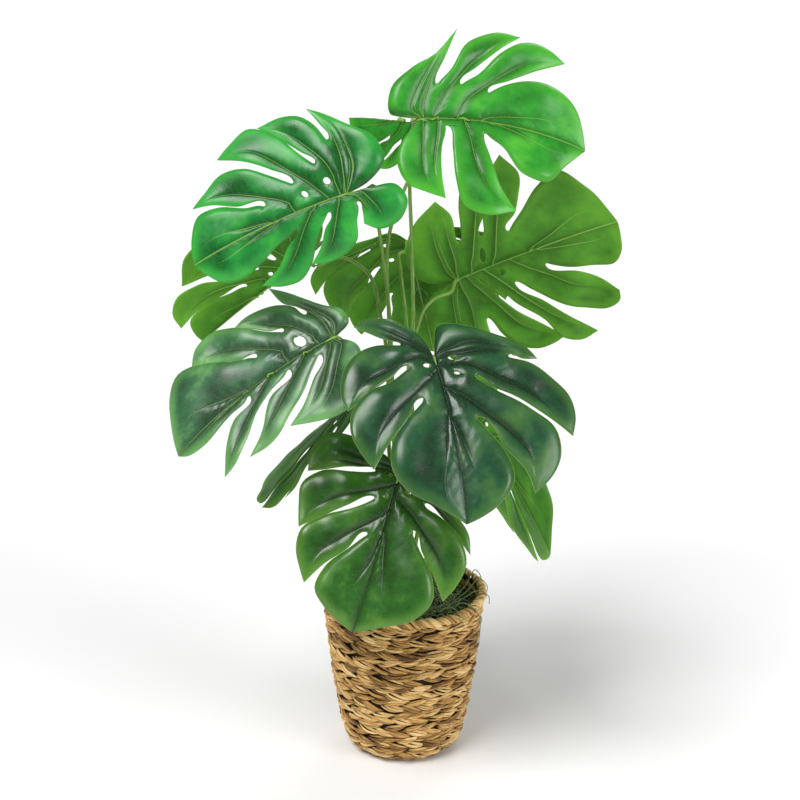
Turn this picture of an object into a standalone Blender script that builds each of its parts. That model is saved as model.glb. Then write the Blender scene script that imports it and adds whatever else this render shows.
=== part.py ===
"""Monstera in a woven basket.

Eleven split leaves stand on their stalks, which rise from one root crown. The crown sits in the
soil of a nursery pot, the pot stands inside the basket, and moss covers the soil.

Metres, +Z up. The origin is the centre of the basket's foot, and -Y is the plant's front.
"""
import math

import bmesh
import bpy
import numpy as np

GAP = 0.0003                    # clearance between pieces that touch

# Basket: a turned wall that flares upwards, given as (height, outer radius)
BASKET_HEIGHT = 0.192
BASKET_SIDE = [(0.0, 0.056), (0.004, 0.0625), (0.013, 0.0686), (0.030, 0.0740), (0.068, 0.0805),
               (0.107, 0.0860), (0.150, 0.0905), (0.182, 0.0940)]
BASKET_WALL = 0.009
BASKET_FLOOR = 0.008
BASKET_CORNER = 0.003           # the inner corner between floor and wall is cut back by this
BASKET_SEGMENTS = 48

# Nursery pot, soil and moss inside it
POT_FOOT_RADIUS = 0.054
POT_RIM_RADIUS = 0.0775
POT_RIM_HEIGHT = 0.158
POT_WALL = 0.0015
SOIL_DEPTH_BELOW_RIM = 0.004
MOSS_TOP = 0.177
MOSS_RADIUS = 0.0815
MOSS_EDGE_SHARE = 0.55          # the moss's height at both edges, as a share of its full height
MOSS_STEPS = 8
INNER_SEGMENTS = 36
CROWN_SEGMENTS = 24

# Root crown and the stalks that stand on it
CROWN_RADIUS = 0.0140
CROWN_TOP = 0.196
CROWN_BEVEL = 0.003
STALK_RADIUS = 0.0026
STALK_TIP_SHARE = 0.75          # a stalk's radius at the leaf, as a share of its radius at the crown
STALK_POINTS = 13
INNER_RING = 0.0036             # radius of the ring of three stalks at the crown's centre
OUTER_RING = 0.0104             # radius of the ring of eight stalks around them
STALK_DROP = 0.0050             # a stalk's end lies this far under its leaf's upper face
STALK_BEND = 0.022              # length of the stalk's last bend up into the leaf
STALK_RISE = 0.012              # a stalk leaves the crown straight up for this length

# Leaf blades
LEAF_THICKNESS = 0.0012
SLIT_END_RADIUS = 1.0           # hundredths of the leaf's length
SEAM_LEAN = 0.45                # how far a seam leans towards the tip on its way to the slit
SEAM_SPACING = 4.0              # least distance between two seams of one half along the midrib
SEAM_MERGE = 3.0                # seams of both halves that are nearer than this share a mark
LAST_LOBE_RUN = 9.0             # length of midrib from which the last lobes open
NEAR_ROOT_SHARE = 0.22          # share of the first near edge that lies beside the joined rows
FAR_ROOT_SHARE = 0.3            # the same for the last far edge
SPREAD_REACH = 0.35             # share of a lobe's rows over which its columns become even
COLUMNS_PER_INTERVAL = 2        # mesh columns between neighbouring seams
JOINED_ROWS = 2                 # mesh rows from the midrib to the slits' inner ends
FREE_ROWS = 5                   # mesh rows from there to the lobes' tips

LEAF_BRIGHT = (0.10, 0.42, 0.06)
LEAF_DARK = (0.02, 0.13, 0.06)
LEAF_MIDDLE = (0.04, 0.20, 0.04)
LEAF_OLIVE = (0.12, 0.30, 0.04)
STALK_GREEN = (0.13, 0.24, 0.05)

# A leaf's outline, in hundredths of its length, with x along the midrib and y out from it. Each
# half is a row of lobes from the base to the tip. A lobe is its near edge, its tip, its far edge,
# and the inner end of the slit after it; the last lobe ends at the leaf's tip and has no slit.
LEAF_TIP = (100, 0)
BROAD_LEAF = (
    [([(-19, 1), (-20, 14), (-9, 30), (6, 43)], (14, 57), [(9, 38)], (6, 21)),
     ([(12, 28), (22, 49), (36, 56)], (52, 56), [(38, 43), (28, 33)], (20, 21)),
     ([(29, 28), (41, 43), (58, 54), (73, 52)], (81, 48), [(62, 36), (48, 27)], (37, 18)),
     ([(48, 25), (62, 30), (80, 29), (91, 21), (97, 9)], LEAF_TIP, [], None)],
    [([(-8, 14), (-11, 28), (-4, 41), (8, 46)], (20, 50), [(16, 36), (14, 18)], (15, 5)),
     ([(20, 18), (24, 38), (32, 54), (46, 57)], (62, 51), [(50, 37), (42, 20)], (38, 8)),
     ([(50, 15), (62, 28), (76, 30), (89, 14)], LEAF_TIP, [], None)])
FEATHERED_LEAF = (
    [([(-14, 2), (-28, 6), (-31, 16), (-22, 26), (-9, 26)], (-2, 20), [(-4, 13)], (-3, 7)),
     ([(1, 17), (5, 27), (15, 33), (27, 34)], (36, 31), [(27, 24), (20, 15)], (14, 7)),
     ([(27, 19), (36, 31), (46, 37), (57, 36)], (69, 30), [(55, 25), (44, 16)], (36, 9)),
     ([(49, 13), (62, 18), (76, 21), (88, 18), (96, 8)], LEAF_TIP, [], None)],
    [([(-15, 2), (-27, 10), (-27, 23), (-16, 38), (-5, 51)], (4, 58), [(0, 46)], (-1, 35)),
     ([(3, 46), (9, 54), (20, 59)], (35, 59), [(24, 45), (16, 33)], (11, 23)),
     ([(17, 32), (27, 50), (41, 61), (54, 56)], (64, 51), [(50, 42), (37, 31)], (27, 17)),
     ([(38, 27), (52, 38), (67, 41), (78, 35)], (88, 30), [(76, 26), (62, 18)], (47, 11)),
     ([(58, 15), (73, 23), (87, 24), (96, 13)], LEAF_TIP, [], None)])
WIDE_LEAF = (
    [([(-8, 1), (-19, 5), (-28, 17), (-30, 34), (-26, 51)], (-17, 59), [(-7, 51), (0, 43)], (4, 31)),
     ([(7, 44), (12, 58), (21, 64), (31, 63)], (39, 60), [(29, 45), (20, 28)], (17, 15)),
     ([(24, 28), (33, 45), (38, 62), (46, 68)], (57, 65), [(50, 53), (40, 34)], (30, 15)),
     ([(36, 23), (45, 35), (56, 46), (68, 52), (79, 48)], (82, 41), [(77, 33), (66, 22)], (51, 11)),
     ([(59, 16), (72, 21), (87, 24), (94, 18), (98, 8)], LEAF_TIP, [], None)],
    [([(-6, 1), (-15, 4), (-21, 13), (-17, 28), (-7, 39)], (12, 48), [(16, 38)], (13, 21)),
     ([(18, 29), (23, 41), (31, 52), (39, 57)], (47, 56), [(41, 42), (33, 30)], (26, 19)),
     ([(32, 29), (41, 40), (48, 52)], (57, 59), [(62, 45), (56, 33), (50, 25)], (41, 16)),
     ([(54, 25), (68, 35), (83, 39), (93, 27), (98, 9)], LEAF_TIP, [], None)])
HOOKED_LEAF = (
    [WIDE_LEAF[0][0], WIDE_LEAF[0][1],
     ([(24, 28), (36, 50), (52, 66), (70, 66)], (85, 50), [(70, 44), (50, 32)], (32, 19)),
     ([(57, 28), (75, 42), (93, 45), (104, 36)], (106, 22), [(84, 25), (66, 20)], (47, 13)),
     ([(60, 17), (84, 25), (97, 22), (101, 9)], LEAF_TIP, [], None)],
    WIDE_LEAF[1])
NARROW_LEAF = (
    [([(-7, 12), (-3, 26), (6, 38), (18, 40), (31, 36)], (42, 31), [(30, 25), (20, 16)], (11, 6)),
     ([(19, 12), (28, 20), (38, 25), (49, 31), (58, 32)], (67, 31), [(54, 23), (43, 12)], (28, 4)),
     ([(42, 9), (53, 14), (64, 22), (75, 28)], (84, 29), [(75, 18), (65, 9)], (52, 3)),
     ([(65, 5), (84, 8), (95, 5)], LEAF_TIP, [], None)],
    [([(-10, 3), (-10, 10), (-4, 17), (3, 27), (10, 38)], (15, 43), [(13, 31)], (6, 18)),
     ([(9, 25), (15, 31), (25, 34), (33, 34)], (40, 32), [(32, 26), (26, 21)], (20, 16)),
     ([(29, 23), (40, 33), (53, 41), (63, 38)], (69, 31), [(55, 22), (46, 16)], (38, 12)),
     ([(48, 17), (63, 28), (78, 34), (88, 26), (96, 10)], LEAF_TIP, [], None)])
HEART_LEAF = (
    [([(-10, 2), (-18, 5), (-15, 21), (-7, 37), (4, 53)], (12, 57), [(11, 48)], (8, 41)),
     ([(14, 52), (23, 62), (36, 70), (49, 71)], (60, 67), [(46, 53), (33, 38), (25, 27)], (18, 19)),
     ([(28, 29), (41, 45), (54, 57), (70, 58), (82, 50)], (89, 40), [(76, 36), (62, 27)], (42, 14)),
     ([(52, 20), (65, 27), (80, 29), (92, 19), (98, 7)], LEAF_TIP, [], None)],
    [([(-13, 5), (-21, 13), (-28, 25), (-29, 36)], (-24, 42), [(-19, 34), (-13, 24)], (-9, 18)),
     ([(-11, 31), (-6, 45), (6, 55), (17, 58)], (26, 56), [(19, 43), (11, 28)], (6, 16)),
     ([(14, 30), (18, 44), (27, 54), (39, 57), (53, 53)], (62, 48), [(51, 39), (38, 25)], (26, 13)),
     ([(37, 25), (50, 36), (64, 38), (77, 31), (87, 17)], LEAF_TIP, [], None)])
SHIELD_LEAF = (
    [([(-8, 3), (-16, 9), (-18, 20), (-11, 33), (-1, 43)], (7, 47), [(7, 35)], (2, 16)),
     ([(6, 27), (14, 40), (24, 51)], (35, 55), [(26, 43), (18, 32)], (13, 20)),
     ([(18, 31), (27, 46), (40, 54), (55, 52)], (66, 47), [(53, 37), (41, 26)], (31, 17)),
     ([(41, 25), (53, 36), (68, 41), (81, 34), (91, 17)], LEAF_TIP, [], None)],
    [([(-7, 8), (-11, 20), (-14, 38), (-10, 52), (2, 57)], (14, 55), [(9, 42), (3, 26)], (2, 15)),
     ([(7, 29), (12, 48), (22, 56), (36, 54)], (48, 50), [(38, 39), (27, 25)], (18, 11)),
     ([(28, 22), (37, 38), (48, 48), (61, 48), (72, 42)], (79, 37), [(65, 29), (52, 18)], (40, 9)),
     ([(51, 17), (66, 28), (80, 30), (90, 20), (97, 7)], LEAF_TIP, [], None)])
HANGING_HALF = [
    ([(-7, 8), (-5, 25), (3, 48), (15, 67), (27, 74)], (39, 73), [(27, 62), (17, 49), (10, 38)],
     (3, 26)),
    ([(12, 42), (20, 55), (33, 66), (50, 66)], (67, 57), [(52, 48), (36, 36)], (20, 23)),
    ([(28, 29), (40, 43), (52, 52), (64, 53)], (77, 48), [(68, 36), (56, 26)], (45, 19)),
    ([(59, 22), (70, 25), (84, 22), (95, 11)], LEAF_TIP, [], None)]
HANGING_LEAF = (HANGING_HALF, HANGING_HALF)

# Each leaf: where its base is, which way the midrib leaves it, which way its upper face looks, and
# its length. fold is how far the left and right halves rise from the midrib, in degrees; curl is
# how fast they go on rising, droop how fast the midrib bends down, both in 1/m; sweep bows the
# midrib sideways, as a share of the length. crown is the stalk's place on the root crown, as ring
# radius and compass angle, and route the points that the stalk passes on its way up.
LEAVES = {
    "top_right": dict(
        outline=BROAD_LEAF, base=(0.017, -0.035, 0.724), towards=(0.99, 0.02, -0.16),
        facing=(0.10, -0.86, 0.50), length=0.175, fold=(6, 6), curl=(-2, -2), droop=1.2, sweep=0.05,
        crown=(INNER_RING, -60), route=[(0.006, -0.012, 0.35), (0.010, -0.020, 0.50),
                                        (0.008, -0.028, 0.60), (0.006, -0.030, 0.66)]),
    "top_left": dict(
        outline=FEATHERED_LEAF, base=(-0.057, -0.070, 0.654), towards=(-0.92, -0.07, -0.38),
        facing=(-0.15, -0.84, 0.52), length=0.175, fold=(-16, 8), curl=(-5, -2.5), droop=1.2,
        sweep=-0.02,
        crown=(INNER_RING, 180), route=[(-0.010, -0.003, 0.35), (-0.018, -0.003, 0.54),
                                        (-0.026, -0.012, 0.605), (-0.033, -0.032, 0.654)]),
    "top_back": dict(
        outline=BROAD_LEAF, base=(0.015, 0.030, 0.712), towards=(-0.81, 0.58, 0.02),
        facing=(-0.22, -0.34, 0.91), length=0.093, fold=(-50, -38), curl=(-3, -3), droop=1.0, sweep=0.0,
        crown=(OUTER_RING, 90), route=[(-0.008, 0.012, 0.35), (-0.016, 0.012, 0.50),
                                       (-0.014, 0.015, 0.60), (0.005, 0.024, 0.65)]),
    "right": dict(
        outline=WIDE_LEAF, base=(0.059, 0.060, 0.535), towards=(0.87, -0.25, 0.43),
        facing=(0.12, 0.94, 0.30), length=0.196, fold=(-4, -4), curl=(2, 2), droop=1.0, sweep=0.0,
        crown=(OUTER_RING, 45), route=[(0.012, 0.010, 0.35), (0.014, 0.008, 0.49),
                                       (0.026, 0.020, 0.522), (0.038, 0.032, 0.529)]),
    "left_back": dict(
        outline=HOOKED_LEAF, base=(-0.110, 0.045, 0.561), towards=(-0.80, -0.16, -0.58),
        facing=(-0.37, 0.89, 0.25), length=0.142, fold=(-5, 60), curl=(2, 0), droop=1.0, sweep=0.0,
        crown=(OUTER_RING, 135), route=[(-0.016, 0.010, 0.35), (-0.024, 0.008, 0.50),
                                        (-0.040, 0.016, 0.553), (-0.068, 0.026, 0.566)]),
    "hanging": dict(
        outline=HANGING_LEAF, base=(0.004, 0.090, 0.572), towards=(0.19, 0.44, -0.88),
        facing=(0.0, 0.89, 0.45), length=0.165, fold=(0, 0), curl=(1, 1), droop=0.5, sweep=0.0,
        crown=(INNER_RING, 60), route=[(0.004, 0.003, 0.35), (0.003, 0.001, 0.50),
                                       (-0.003, 0.014, 0.550), (-0.005, 0.040, 0.566)]),
    "left": dict(
        outline=NARROW_LEAF, base=(-0.073, -0.075, 0.506), towards=(-0.84, -0.18, -0.51),
        facing=(-0.25, -0.70, 0.67), length=0.209, fold=(6, 12), curl=(-4, -4), droop=1.5, sweep=-0.03,
        crown=(OUTER_RING, -135), route=[(-0.020, -0.020, 0.33), (-0.042, -0.040, 0.43)]),
    "centre": dict(
        outline=HEART_LEAF, base=(0.031, -0.100, 0.492), towards=(0.19, -0.68, -0.71),
        facing=(0.05, -0.72, 0.70), length=0.179, fold=(8, 8), curl=(-3, -3), droop=2.0, sweep=0.02,
        crown=(OUTER_RING, -45), route=[(0.012, -0.028, 0.33), (0.022, -0.055, 0.43)]),
    "front": dict(
        outline=SHIELD_LEAF, base=(-0.005, -0.085, 0.358), towards=(-0.30, -0.48, -0.83),
        facing=(-0.08, -0.85, 0.52), length=0.173, fold=(10, 10), curl=(-3, -3), droop=1.5, sweep=0.01,
        crown=(OUTER_RING, -90), route=[(-0.001, -0.022, 0.26), (-0.001, -0.044, 0.32)]),
    "low_left": dict(
        outline=SHIELD_LEAF, base=(-0.061, 0.010, 0.403), towards=(-0.57, 0.56, -0.60),
        facing=(-0.60, 0.22, 0.77), length=0.189, fold=(-14, 8), curl=(-2, -2), droop=0.5, sweep=0.0,
        crown=(OUTER_RING, 180), route=[(-0.016, 0.001, 0.27), (-0.028, 0.001, 0.345)]),
    "low_right": dict(
        outline=SHIELD_LEAF, base=(0.082, 0.020, 0.383), towards=(0.50, 0.15, -0.85),
        facing=(0.84, 0.15, 0.52), length=0.196, fold=(34, -14), curl=(-1, -1), droop=0.5, sweep=0.0,
        crown=(OUTER_RING, 0), route=[(0.018, 0.003, 0.27), (0.036, 0.009, 0.34)]),
}
LEAF_COLOURS = {"top_right": LEAF_BRIGHT, "top_left": LEAF_BRIGHT, "top_back": LEAF_BRIGHT,
                "right": LEAF_OLIVE, "left_back": LEAF_OLIVE, "hanging": LEAF_OLIVE,
                "left": LEAF_DARK, "centre": LEAF_DARK}


def clear_scene():
    for item in list(bpy.data.objects):
        bpy.data.objects.remove(item)


def material(name, colour, roughness):
    made = bpy.data.materials.new(name)
    made.use_nodes = True
    shader = made.node_tree.nodes["Principled BSDF"]
    shader.inputs["Base Color"].default_value = (*colour, 1.0)
    shader.inputs["Roughness"].default_value = roughness
    made.diffuse_color = (*colour, 1.0)
    return made


def add_object(name, data, surface):
    data.materials.append(surface)
    made = bpy.data.objects.new(name, data)
    bpy.data.collections["monstera_in_a_basket"].objects.link(made)
    return made


def turned(name, profile, segments, surface):
    """Turn a profile of (radius, height) points about Z; it runs down the outer side."""
    mesh = bpy.data.meshes.new(name)
    corners = [(radius, 0.0, height) for radius, height in profile]
    edges = [(i, i + 1) for i in range(len(corners) - 1)]
    mesh.from_pydata(corners, edges, [])
    made = add_object(name, mesh, surface)
    screw = made.modifiers.new("turn", "SCREW")
    screw.steps = screw.render_steps = segments
    screw.use_merge_vertices = True
    screw.merge_threshold = 0.00001
    return made


def unit(vector):
    vector = np.asarray(vector, float)
    return vector / np.linalg.norm(vector)


def smooth_path(points, shares):
    """Points of a smooth curve through the given points, at shares of its length from 0 to 1."""
    points = np.asarray(points, float)
    steps = np.linalg.norm(np.diff(points, axis=0), axis=1)
    knots = np.concatenate([[0.0], np.cumsum(steps)]) / steps.sum()
    slopes = np.gradient(points, knots, axis=0)
    i = np.clip(np.searchsorted(knots, shares, side="right") - 1, 0, len(points) - 2)
    span = (knots[i + 1] - knots[i])[:, None]
    u = (shares - knots[i])[:, None] / span
    return ((2 * u**3 - 3 * u**2 + 1) * points[i] + (u**3 - 2 * u**2 + u) * span * slopes[i]
            + (3 * u**2 - 2 * u**3) * points[i + 1] + (u**3 - u**2) * span * slopes[i + 1])


def seam_starts(lobes):
    """Where the seams that lead to the slits leave the midrib, from the base to the tip."""
    starts = []
    last = -SEAM_SPACING / 2
    for _, _, _, slit in lobes[:-1]:
        last = max(slit[0] - SEAM_LEAN * slit[1], last + SEAM_SPACING)
        starts.append(last)
    return starts


def midrib_marks(left, right):
    """Marks on the midrib that both halves share, so that their meshes meet: the base, every seam
    start, with near ones merged, and the place where the last lobes begin."""
    groups = []
    for start in sorted(seam_starts(left) + seam_starts(right)):
        if groups and start - groups[-1][-1] < SEAM_MERGE:
            groups[-1].append(start)
        else:
            groups.append([start])
    marks = [0.0] + [float(np.mean(group)) for group in groups]
    return np.array(marks + [marks[-1] + LAST_LOBE_RUN])


def slit_mouth(seam_start, slit, outward):
    """The first point of an edge past a slit's rounded end, on the base's or the tip's side."""
    along = unit(np.subtract(slit, seam_start))
    across = np.array([along[1], -along[0]])
    if across[0] * outward < 0:
        across = -across
    return np.add(slit, SLIT_END_RADIUS * (along + across))


def root_shares(joined, free, root):
    """Places along an edge that has no seam: its first part, root, lies beside the joined rows."""
    return np.concatenate([joined * root, root + (1 - root) * free])


def lobe_grids(lobes, marks):
    """One grid of points for each lobe. Row 0 lies on the midrib and the last row is the lobe's
    tip; the first column follows the lobe's near edge and the last column its far edge."""
    starts = [0] + [int(np.argmin(abs(marks - start))) for start in seam_starts(lobes)]
    starts.append(len(marks) - 1)
    joined = np.linspace(0, 1, JOINED_ROWS + 1)
    free = np.linspace(0, 1, FREE_ROWS + 1)[1:]
    reach = np.concatenate([joined * 0.5, 0.5 + free * 0.5])
    grids = []
    for number, (near, tip, far, slit) in enumerate(lobes):
        low, high = starts[number], starts[number + 1]
        start = np.array([marks[low], 0.0])
        end = np.array([marks[high], 0.0])
        if number == 0:
            shares = root_shares(joined, free, NEAR_ROOT_SHARE)
            near_edge = smooth_path([start, *near, tip], shares)
        else:
            last_slit = np.array(lobes[number - 1][3], float)
            edge = [last_slit, slit_mouth(start, last_slit, 1), *near, tip]
            near_edge = np.concatenate([start + (last_slit - start) * joined[:, None],
                                        smooth_path(edge, free)])
        if slit is None:
            shares = root_shares(joined, free, FAR_ROOT_SHARE)
            far_edge = end + (np.array(tip) - end) * shares[:, None]
        else:
            edge = [np.array(slit, float), slit_mouth(end, slit, -1), *far[::-1], tip]
            far_edge = np.concatenate([end + (edge[0] - end) * joined[:, None],
                                       smooth_path(edge, free)])
        stations = np.interp(np.arange((high - low) * COLUMNS_PER_INTERVAL + 1) / COLUMNS_PER_INTERVAL,
                             np.arange(high - low + 1), marks[low:high + 1])
        by_place = (stations - stations[0]) / (stations[-1] - stations[0])
        evenly = np.linspace(0, 1, len(stations))
        spread = np.clip(reach / SPREAD_REACH, 0, 1)[:, None]
        across = (by_place * (1 - spread) + evenly * spread)[..., None]
        grids.append(near_edge[:, None] * (1 - across) + far_edge[:, None] * across)
    return grids


def bend(flat, leaf):
    """Give flat leaf points their place in space. Each half rises from the midrib at its fold
    angle, which grows by its curl; the whole blade then bends down along the midrib by its droop."""
    length = leaf["length"]
    x, y = flat[..., 0], flat[..., 1]
    along = np.clip(x / length, 0, 1)
    bow = leaf["sweep"] * 4 * along * (1 - along) * length
    fold = np.radians(np.where(y >= 0, *leaf["fold"]))
    curl = np.where(y >= 0, *leaf["curl"]) + 1e-6
    angle = fold + curl * abs(y)
    out = np.sign(y) * (np.sin(angle) - np.sin(fold)) / curl + bow
    rise = (np.cos(fold) - np.cos(angle)) / curl
    turn = leaf["droop"] * x
    forward = np.sin(turn) / leaf["droop"] + rise * np.sin(turn)
    up = (np.cos(turn) - 1) / leaf["droop"] + rise * np.cos(turn)
    ahead, sideways, normal = leaf_axes(leaf)
    return (np.array(leaf["base"]) + forward[..., None] * ahead + out[..., None] * sideways
            + up[..., None] * normal)


def leaf_axes(leaf):
    ahead = unit(leaf["towards"])
    normal = np.array(leaf["facing"])
    normal = unit(normal - (normal @ ahead) * ahead)
    return ahead, np.cross(normal, ahead), normal


def leaf_blade(name, leaf, surface):
    """The leaf as one closed blade: both halves' lobes, welded along the midrib and the seams."""
    left, right = leaf["outline"]
    marks = midrib_marks(left, right)
    points, faces = [], []
    for lobes, side in ((left, 1), (right, -1)):
        for grid in lobe_grids(lobes, marks):
            rows, columns = grid.shape[:2]
            first = sum(len(block) for block in points)
            flat = grid * (1, side) * leaf["length"] / 100
            points.append(bend(flat, leaf).reshape(-1, 3))
            corner = (np.arange(rows - 1)[:, None] * columns + np.arange(columns - 1)).ravel() + first
            loop = np.stack([corner, corner + 1, corner + columns + 1, corner + columns], axis=1)
            faces.append(loop[:, ::side])
    mesh = bpy.data.meshes.new(name)
    mesh.from_pydata(np.concatenate(points), [], np.concatenate(faces).tolist())
    weld = bmesh.new()
    weld.from_mesh(mesh)
    bmesh.ops.remove_doubles(weld, verts=weld.verts, dist=0.00002)
    weld.to_mesh(mesh)
    weld.free()
    mesh.shade_smooth()
    made = add_object(name, mesh, surface)
    skin = made.modifiers.new("thickness", "SOLIDIFY")
    skin.thickness = LEAF_THICKNESS
    skin.offset = -1
    return made


def stalk(name, leaf, surface):
    """A tapered tube from the root crown, along its route, and up into the leaf's underside."""
    ring, angle = leaf["crown"]
    foot = np.array([ring * math.cos(math.radians(angle)), ring * math.sin(math.radians(angle)),
                     CROWN_TOP + GAP])
    ahead, _, normal = leaf_axes(leaf)
    head = np.array(leaf["base"]) - normal * STALK_DROP
    neck = head - normal * STALK_BEND - ahead * STALK_BEND / 4
    route = [foot, foot + (0, 0, STALK_RISE), *leaf["route"], neck, head]
    places = smooth_path(route, np.linspace(0, 1, STALK_POINTS) ** 0.9)
    curve = bpy.data.curves.new(name, "CURVE")
    curve.dimensions = "3D"
    curve.bevel_depth = STALK_RADIUS
    curve.bevel_resolution = 2
    curve.use_fill_caps = True
    spline = curve.splines.new("POLY")
    spline.points.add(STALK_POINTS - 1)
    for point, place, share in zip(spline.points, places, np.linspace(0, 1, STALK_POINTS)):
        point.co = (*place, 1.0)
        point.radius = 1 + (STALK_TIP_SHARE - 1) * share
    return add_object(name, curve, surface)


def basket():
    outside = [(radius, height) for height, radius in BASKET_SIDE]
    rim_radius = BASKET_SIDE[-1][1]
    middle = rim_radius - BASKET_WALL / 2
    rim = [(middle + BASKET_WALL / 2 * math.cos(math.radians(a)),
            BASKET_HEIGHT - BASKET_WALL / 2 + BASKET_WALL / 2 * math.sin(math.radians(a)))
           for a in (180, 135, 90, 45, 0)]
    inside = [(radius - BASKET_WALL, height) for radius, height in outside if height > BASKET_FLOOR]
    floor = [(0.0, BASKET_FLOOR), (inside[0][0] - BASKET_CORNER, BASKET_FLOOR)]
    profile = floor + inside + rim + outside[::-1] + [(0.0, 0.0)]
    turned("basket", profile, BASKET_SEGMENTS, material("seagrass", (0.55, 0.36, 0.16), 0.75))


def pot_radius(height):
    foot = BASKET_FLOOR + GAP
    share = (height - foot) / (POT_RIM_HEIGHT - foot)
    return POT_FOOT_RADIUS + (POT_RIM_RADIUS - POT_FOOT_RADIUS) * share


def nursery_pot():
    foot = BASKET_FLOOR + GAP
    inner_floor = foot + POT_WALL
    profile = [(0.0, inner_floor), (pot_radius(inner_floor) - POT_WALL, inner_floor),
               (POT_RIM_RADIUS - POT_WALL, POT_RIM_HEIGHT), (POT_RIM_RADIUS, POT_RIM_HEIGHT),
               (POT_FOOT_RADIUS, foot), (0.0, foot)]
    turned("nursery_pot", profile, INNER_SEGMENTS, material("pot_plastic", (0.02, 0.02, 0.02), 0.5))


def soil():
    low = BASKET_FLOOR + GAP + POT_WALL + GAP
    high = POT_RIM_HEIGHT - SOIL_DEPTH_BELOW_RIM
    profile = [(0.0, high), (pot_radius(high) - POT_WALL - GAP, high),
               (pot_radius(low) - POT_WALL - GAP, low), (0.0, low)]
    turned("soil", profile, INNER_SEGMENTS, material("potting_soil", (0.03, 0.02, 0.015), 0.95))


def moss():
    """A ring of moss between the root crown and the basket's wall, crowned in the middle."""
    low = POT_RIM_HEIGHT + GAP
    inner = CROWN_RADIUS + GAP * 3
    bump = MOSS_TOP - low
    middle, half_width = (MOSS_RADIUS + inner) / 2, (MOSS_RADIUS - inner) / 2
    turns = [math.pi * k / MOSS_STEPS for k in range(MOSS_STEPS + 1)]
    crest = [(middle - half_width * math.cos(turn),
              low + bump * (MOSS_EDGE_SHARE + (1 - MOSS_EDGE_SHARE) * math.sin(turn)))
             for turn in turns]
    profile = [(inner, low)] + crest + [(MOSS_RADIUS, low), (inner, low)]
    turned("moss", profile, INNER_SEGMENTS, material("moss", (0.10, 0.16, 0.05), 0.95))


def root_crown():
    low = POT_RIM_HEIGHT - SOIL_DEPTH_BELOW_RIM + GAP
    profile = [(0.0, CROWN_TOP), (CROWN_RADIUS - CROWN_BEVEL / 3, CROWN_TOP),
               (CROWN_RADIUS, CROWN_TOP - CROWN_BEVEL), (CROWN_RADIUS, low), (0.0, low)]
    turned("root_crown", profile, CROWN_SEGMENTS, material("crown_bark", (0.20, 0.24, 0.08), 0.7))


def main():
    clear_scene()
    home = bpy.data.collections.new("monstera_in_a_basket")
    bpy.context.scene.collection.children.link(home)
    basket()
    nursery_pot()
    soil()
    moss()
    root_crown()
    stalk_green = material("stalk", STALK_GREEN, 0.45)
    for name, leaf in LEAVES.items():
        colour = LEAF_COLOURS.get(name, LEAF_MIDDLE)
        leaf_blade("leaf_" + name, leaf, material("leaf_" + name, colour, 0.35))
        stalk("stalk_" + name, leaf, stalk_green)


main()
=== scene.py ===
"""Looks of a potted monstera in a woven seagrass basket.

Eleven split blades on their petioles rise from a crown of sheaths. Stringy moss covers the soil,
and the basket is woven row by row from flat twisted strands, with a wrapped rim.
Metres, +Z up, the origin at the centre of the basket's foot, and -Y is the plant's front.
"""
import math

import bpy
import numpy as np
from bpy.props import FloatProperty, FloatVectorProperty, IntProperty, PointerProperty
from bpy.types import Operator, Panel, PropertyGroup
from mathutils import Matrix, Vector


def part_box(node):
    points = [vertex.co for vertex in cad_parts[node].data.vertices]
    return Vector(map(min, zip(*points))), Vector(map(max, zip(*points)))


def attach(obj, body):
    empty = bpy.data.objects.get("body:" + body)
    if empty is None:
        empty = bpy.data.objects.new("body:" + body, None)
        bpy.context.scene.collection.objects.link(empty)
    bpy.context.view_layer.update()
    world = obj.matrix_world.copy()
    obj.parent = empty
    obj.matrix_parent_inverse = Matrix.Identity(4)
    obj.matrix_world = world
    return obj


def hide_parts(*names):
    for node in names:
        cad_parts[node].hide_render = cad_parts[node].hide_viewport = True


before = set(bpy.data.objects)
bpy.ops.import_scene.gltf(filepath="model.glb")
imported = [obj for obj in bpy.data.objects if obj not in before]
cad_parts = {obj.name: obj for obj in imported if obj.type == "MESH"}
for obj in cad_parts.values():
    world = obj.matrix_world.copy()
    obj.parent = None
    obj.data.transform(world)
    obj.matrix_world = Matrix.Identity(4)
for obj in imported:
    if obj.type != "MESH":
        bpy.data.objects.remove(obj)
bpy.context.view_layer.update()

bl_info = {
    "name": "Monstera in a basket",
    "version": (1, 0, 0),
    "blender": (4, 5, 0),
    "location": "View3D > Sidebar > Monstera",
    "description": "Builds a split-leaf plant in a woven basket over its packed frame",
    "category": "Add Mesh",
}

BODY = "root"


# ---------------------------------------------------------------------------------------------
# Outlines and places of the leaves
# ---------------------------------------------------------------------------------------------
# A leaf's outline, in hundredths of its length, with x along the midrib and y out from it. Each
# half is a row of lobes from the base to the tip. A lobe is its near edge, its tip, its far edge,
# and the inner end of the slit after it; the last lobe ends at the leaf's tip and has no slit.
LEAF_TIP = (100, 0)
BROAD_LEAF = (
    [([(-19, 1), (-20, 14), (-9, 30), (6, 43)], (14, 57), [(9, 38)], (6, 21)),
     ([(12, 28), (22, 49), (36, 56)], (52, 56), [(38, 43), (28, 33)], (20, 21)),
     ([(29, 28), (41, 43), (58, 54), (73, 52)], (81, 48), [(62, 36), (48, 27)], (37, 18)),
     ([(48, 25), (62, 30), (80, 29), (91, 21), (97, 9)], LEAF_TIP, [], None)],
    [([(-8, 14), (-11, 28), (-4, 41), (8, 46)], (20, 50), [(16, 36), (14, 18)], (15, 5)),
     ([(20, 18), (24, 38), (32, 54), (46, 57)], (62, 51), [(50, 37), (42, 20)], (38, 8)),
     ([(50, 15), (62, 28), (76, 30), (89, 14)], LEAF_TIP, [], None)])
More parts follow.
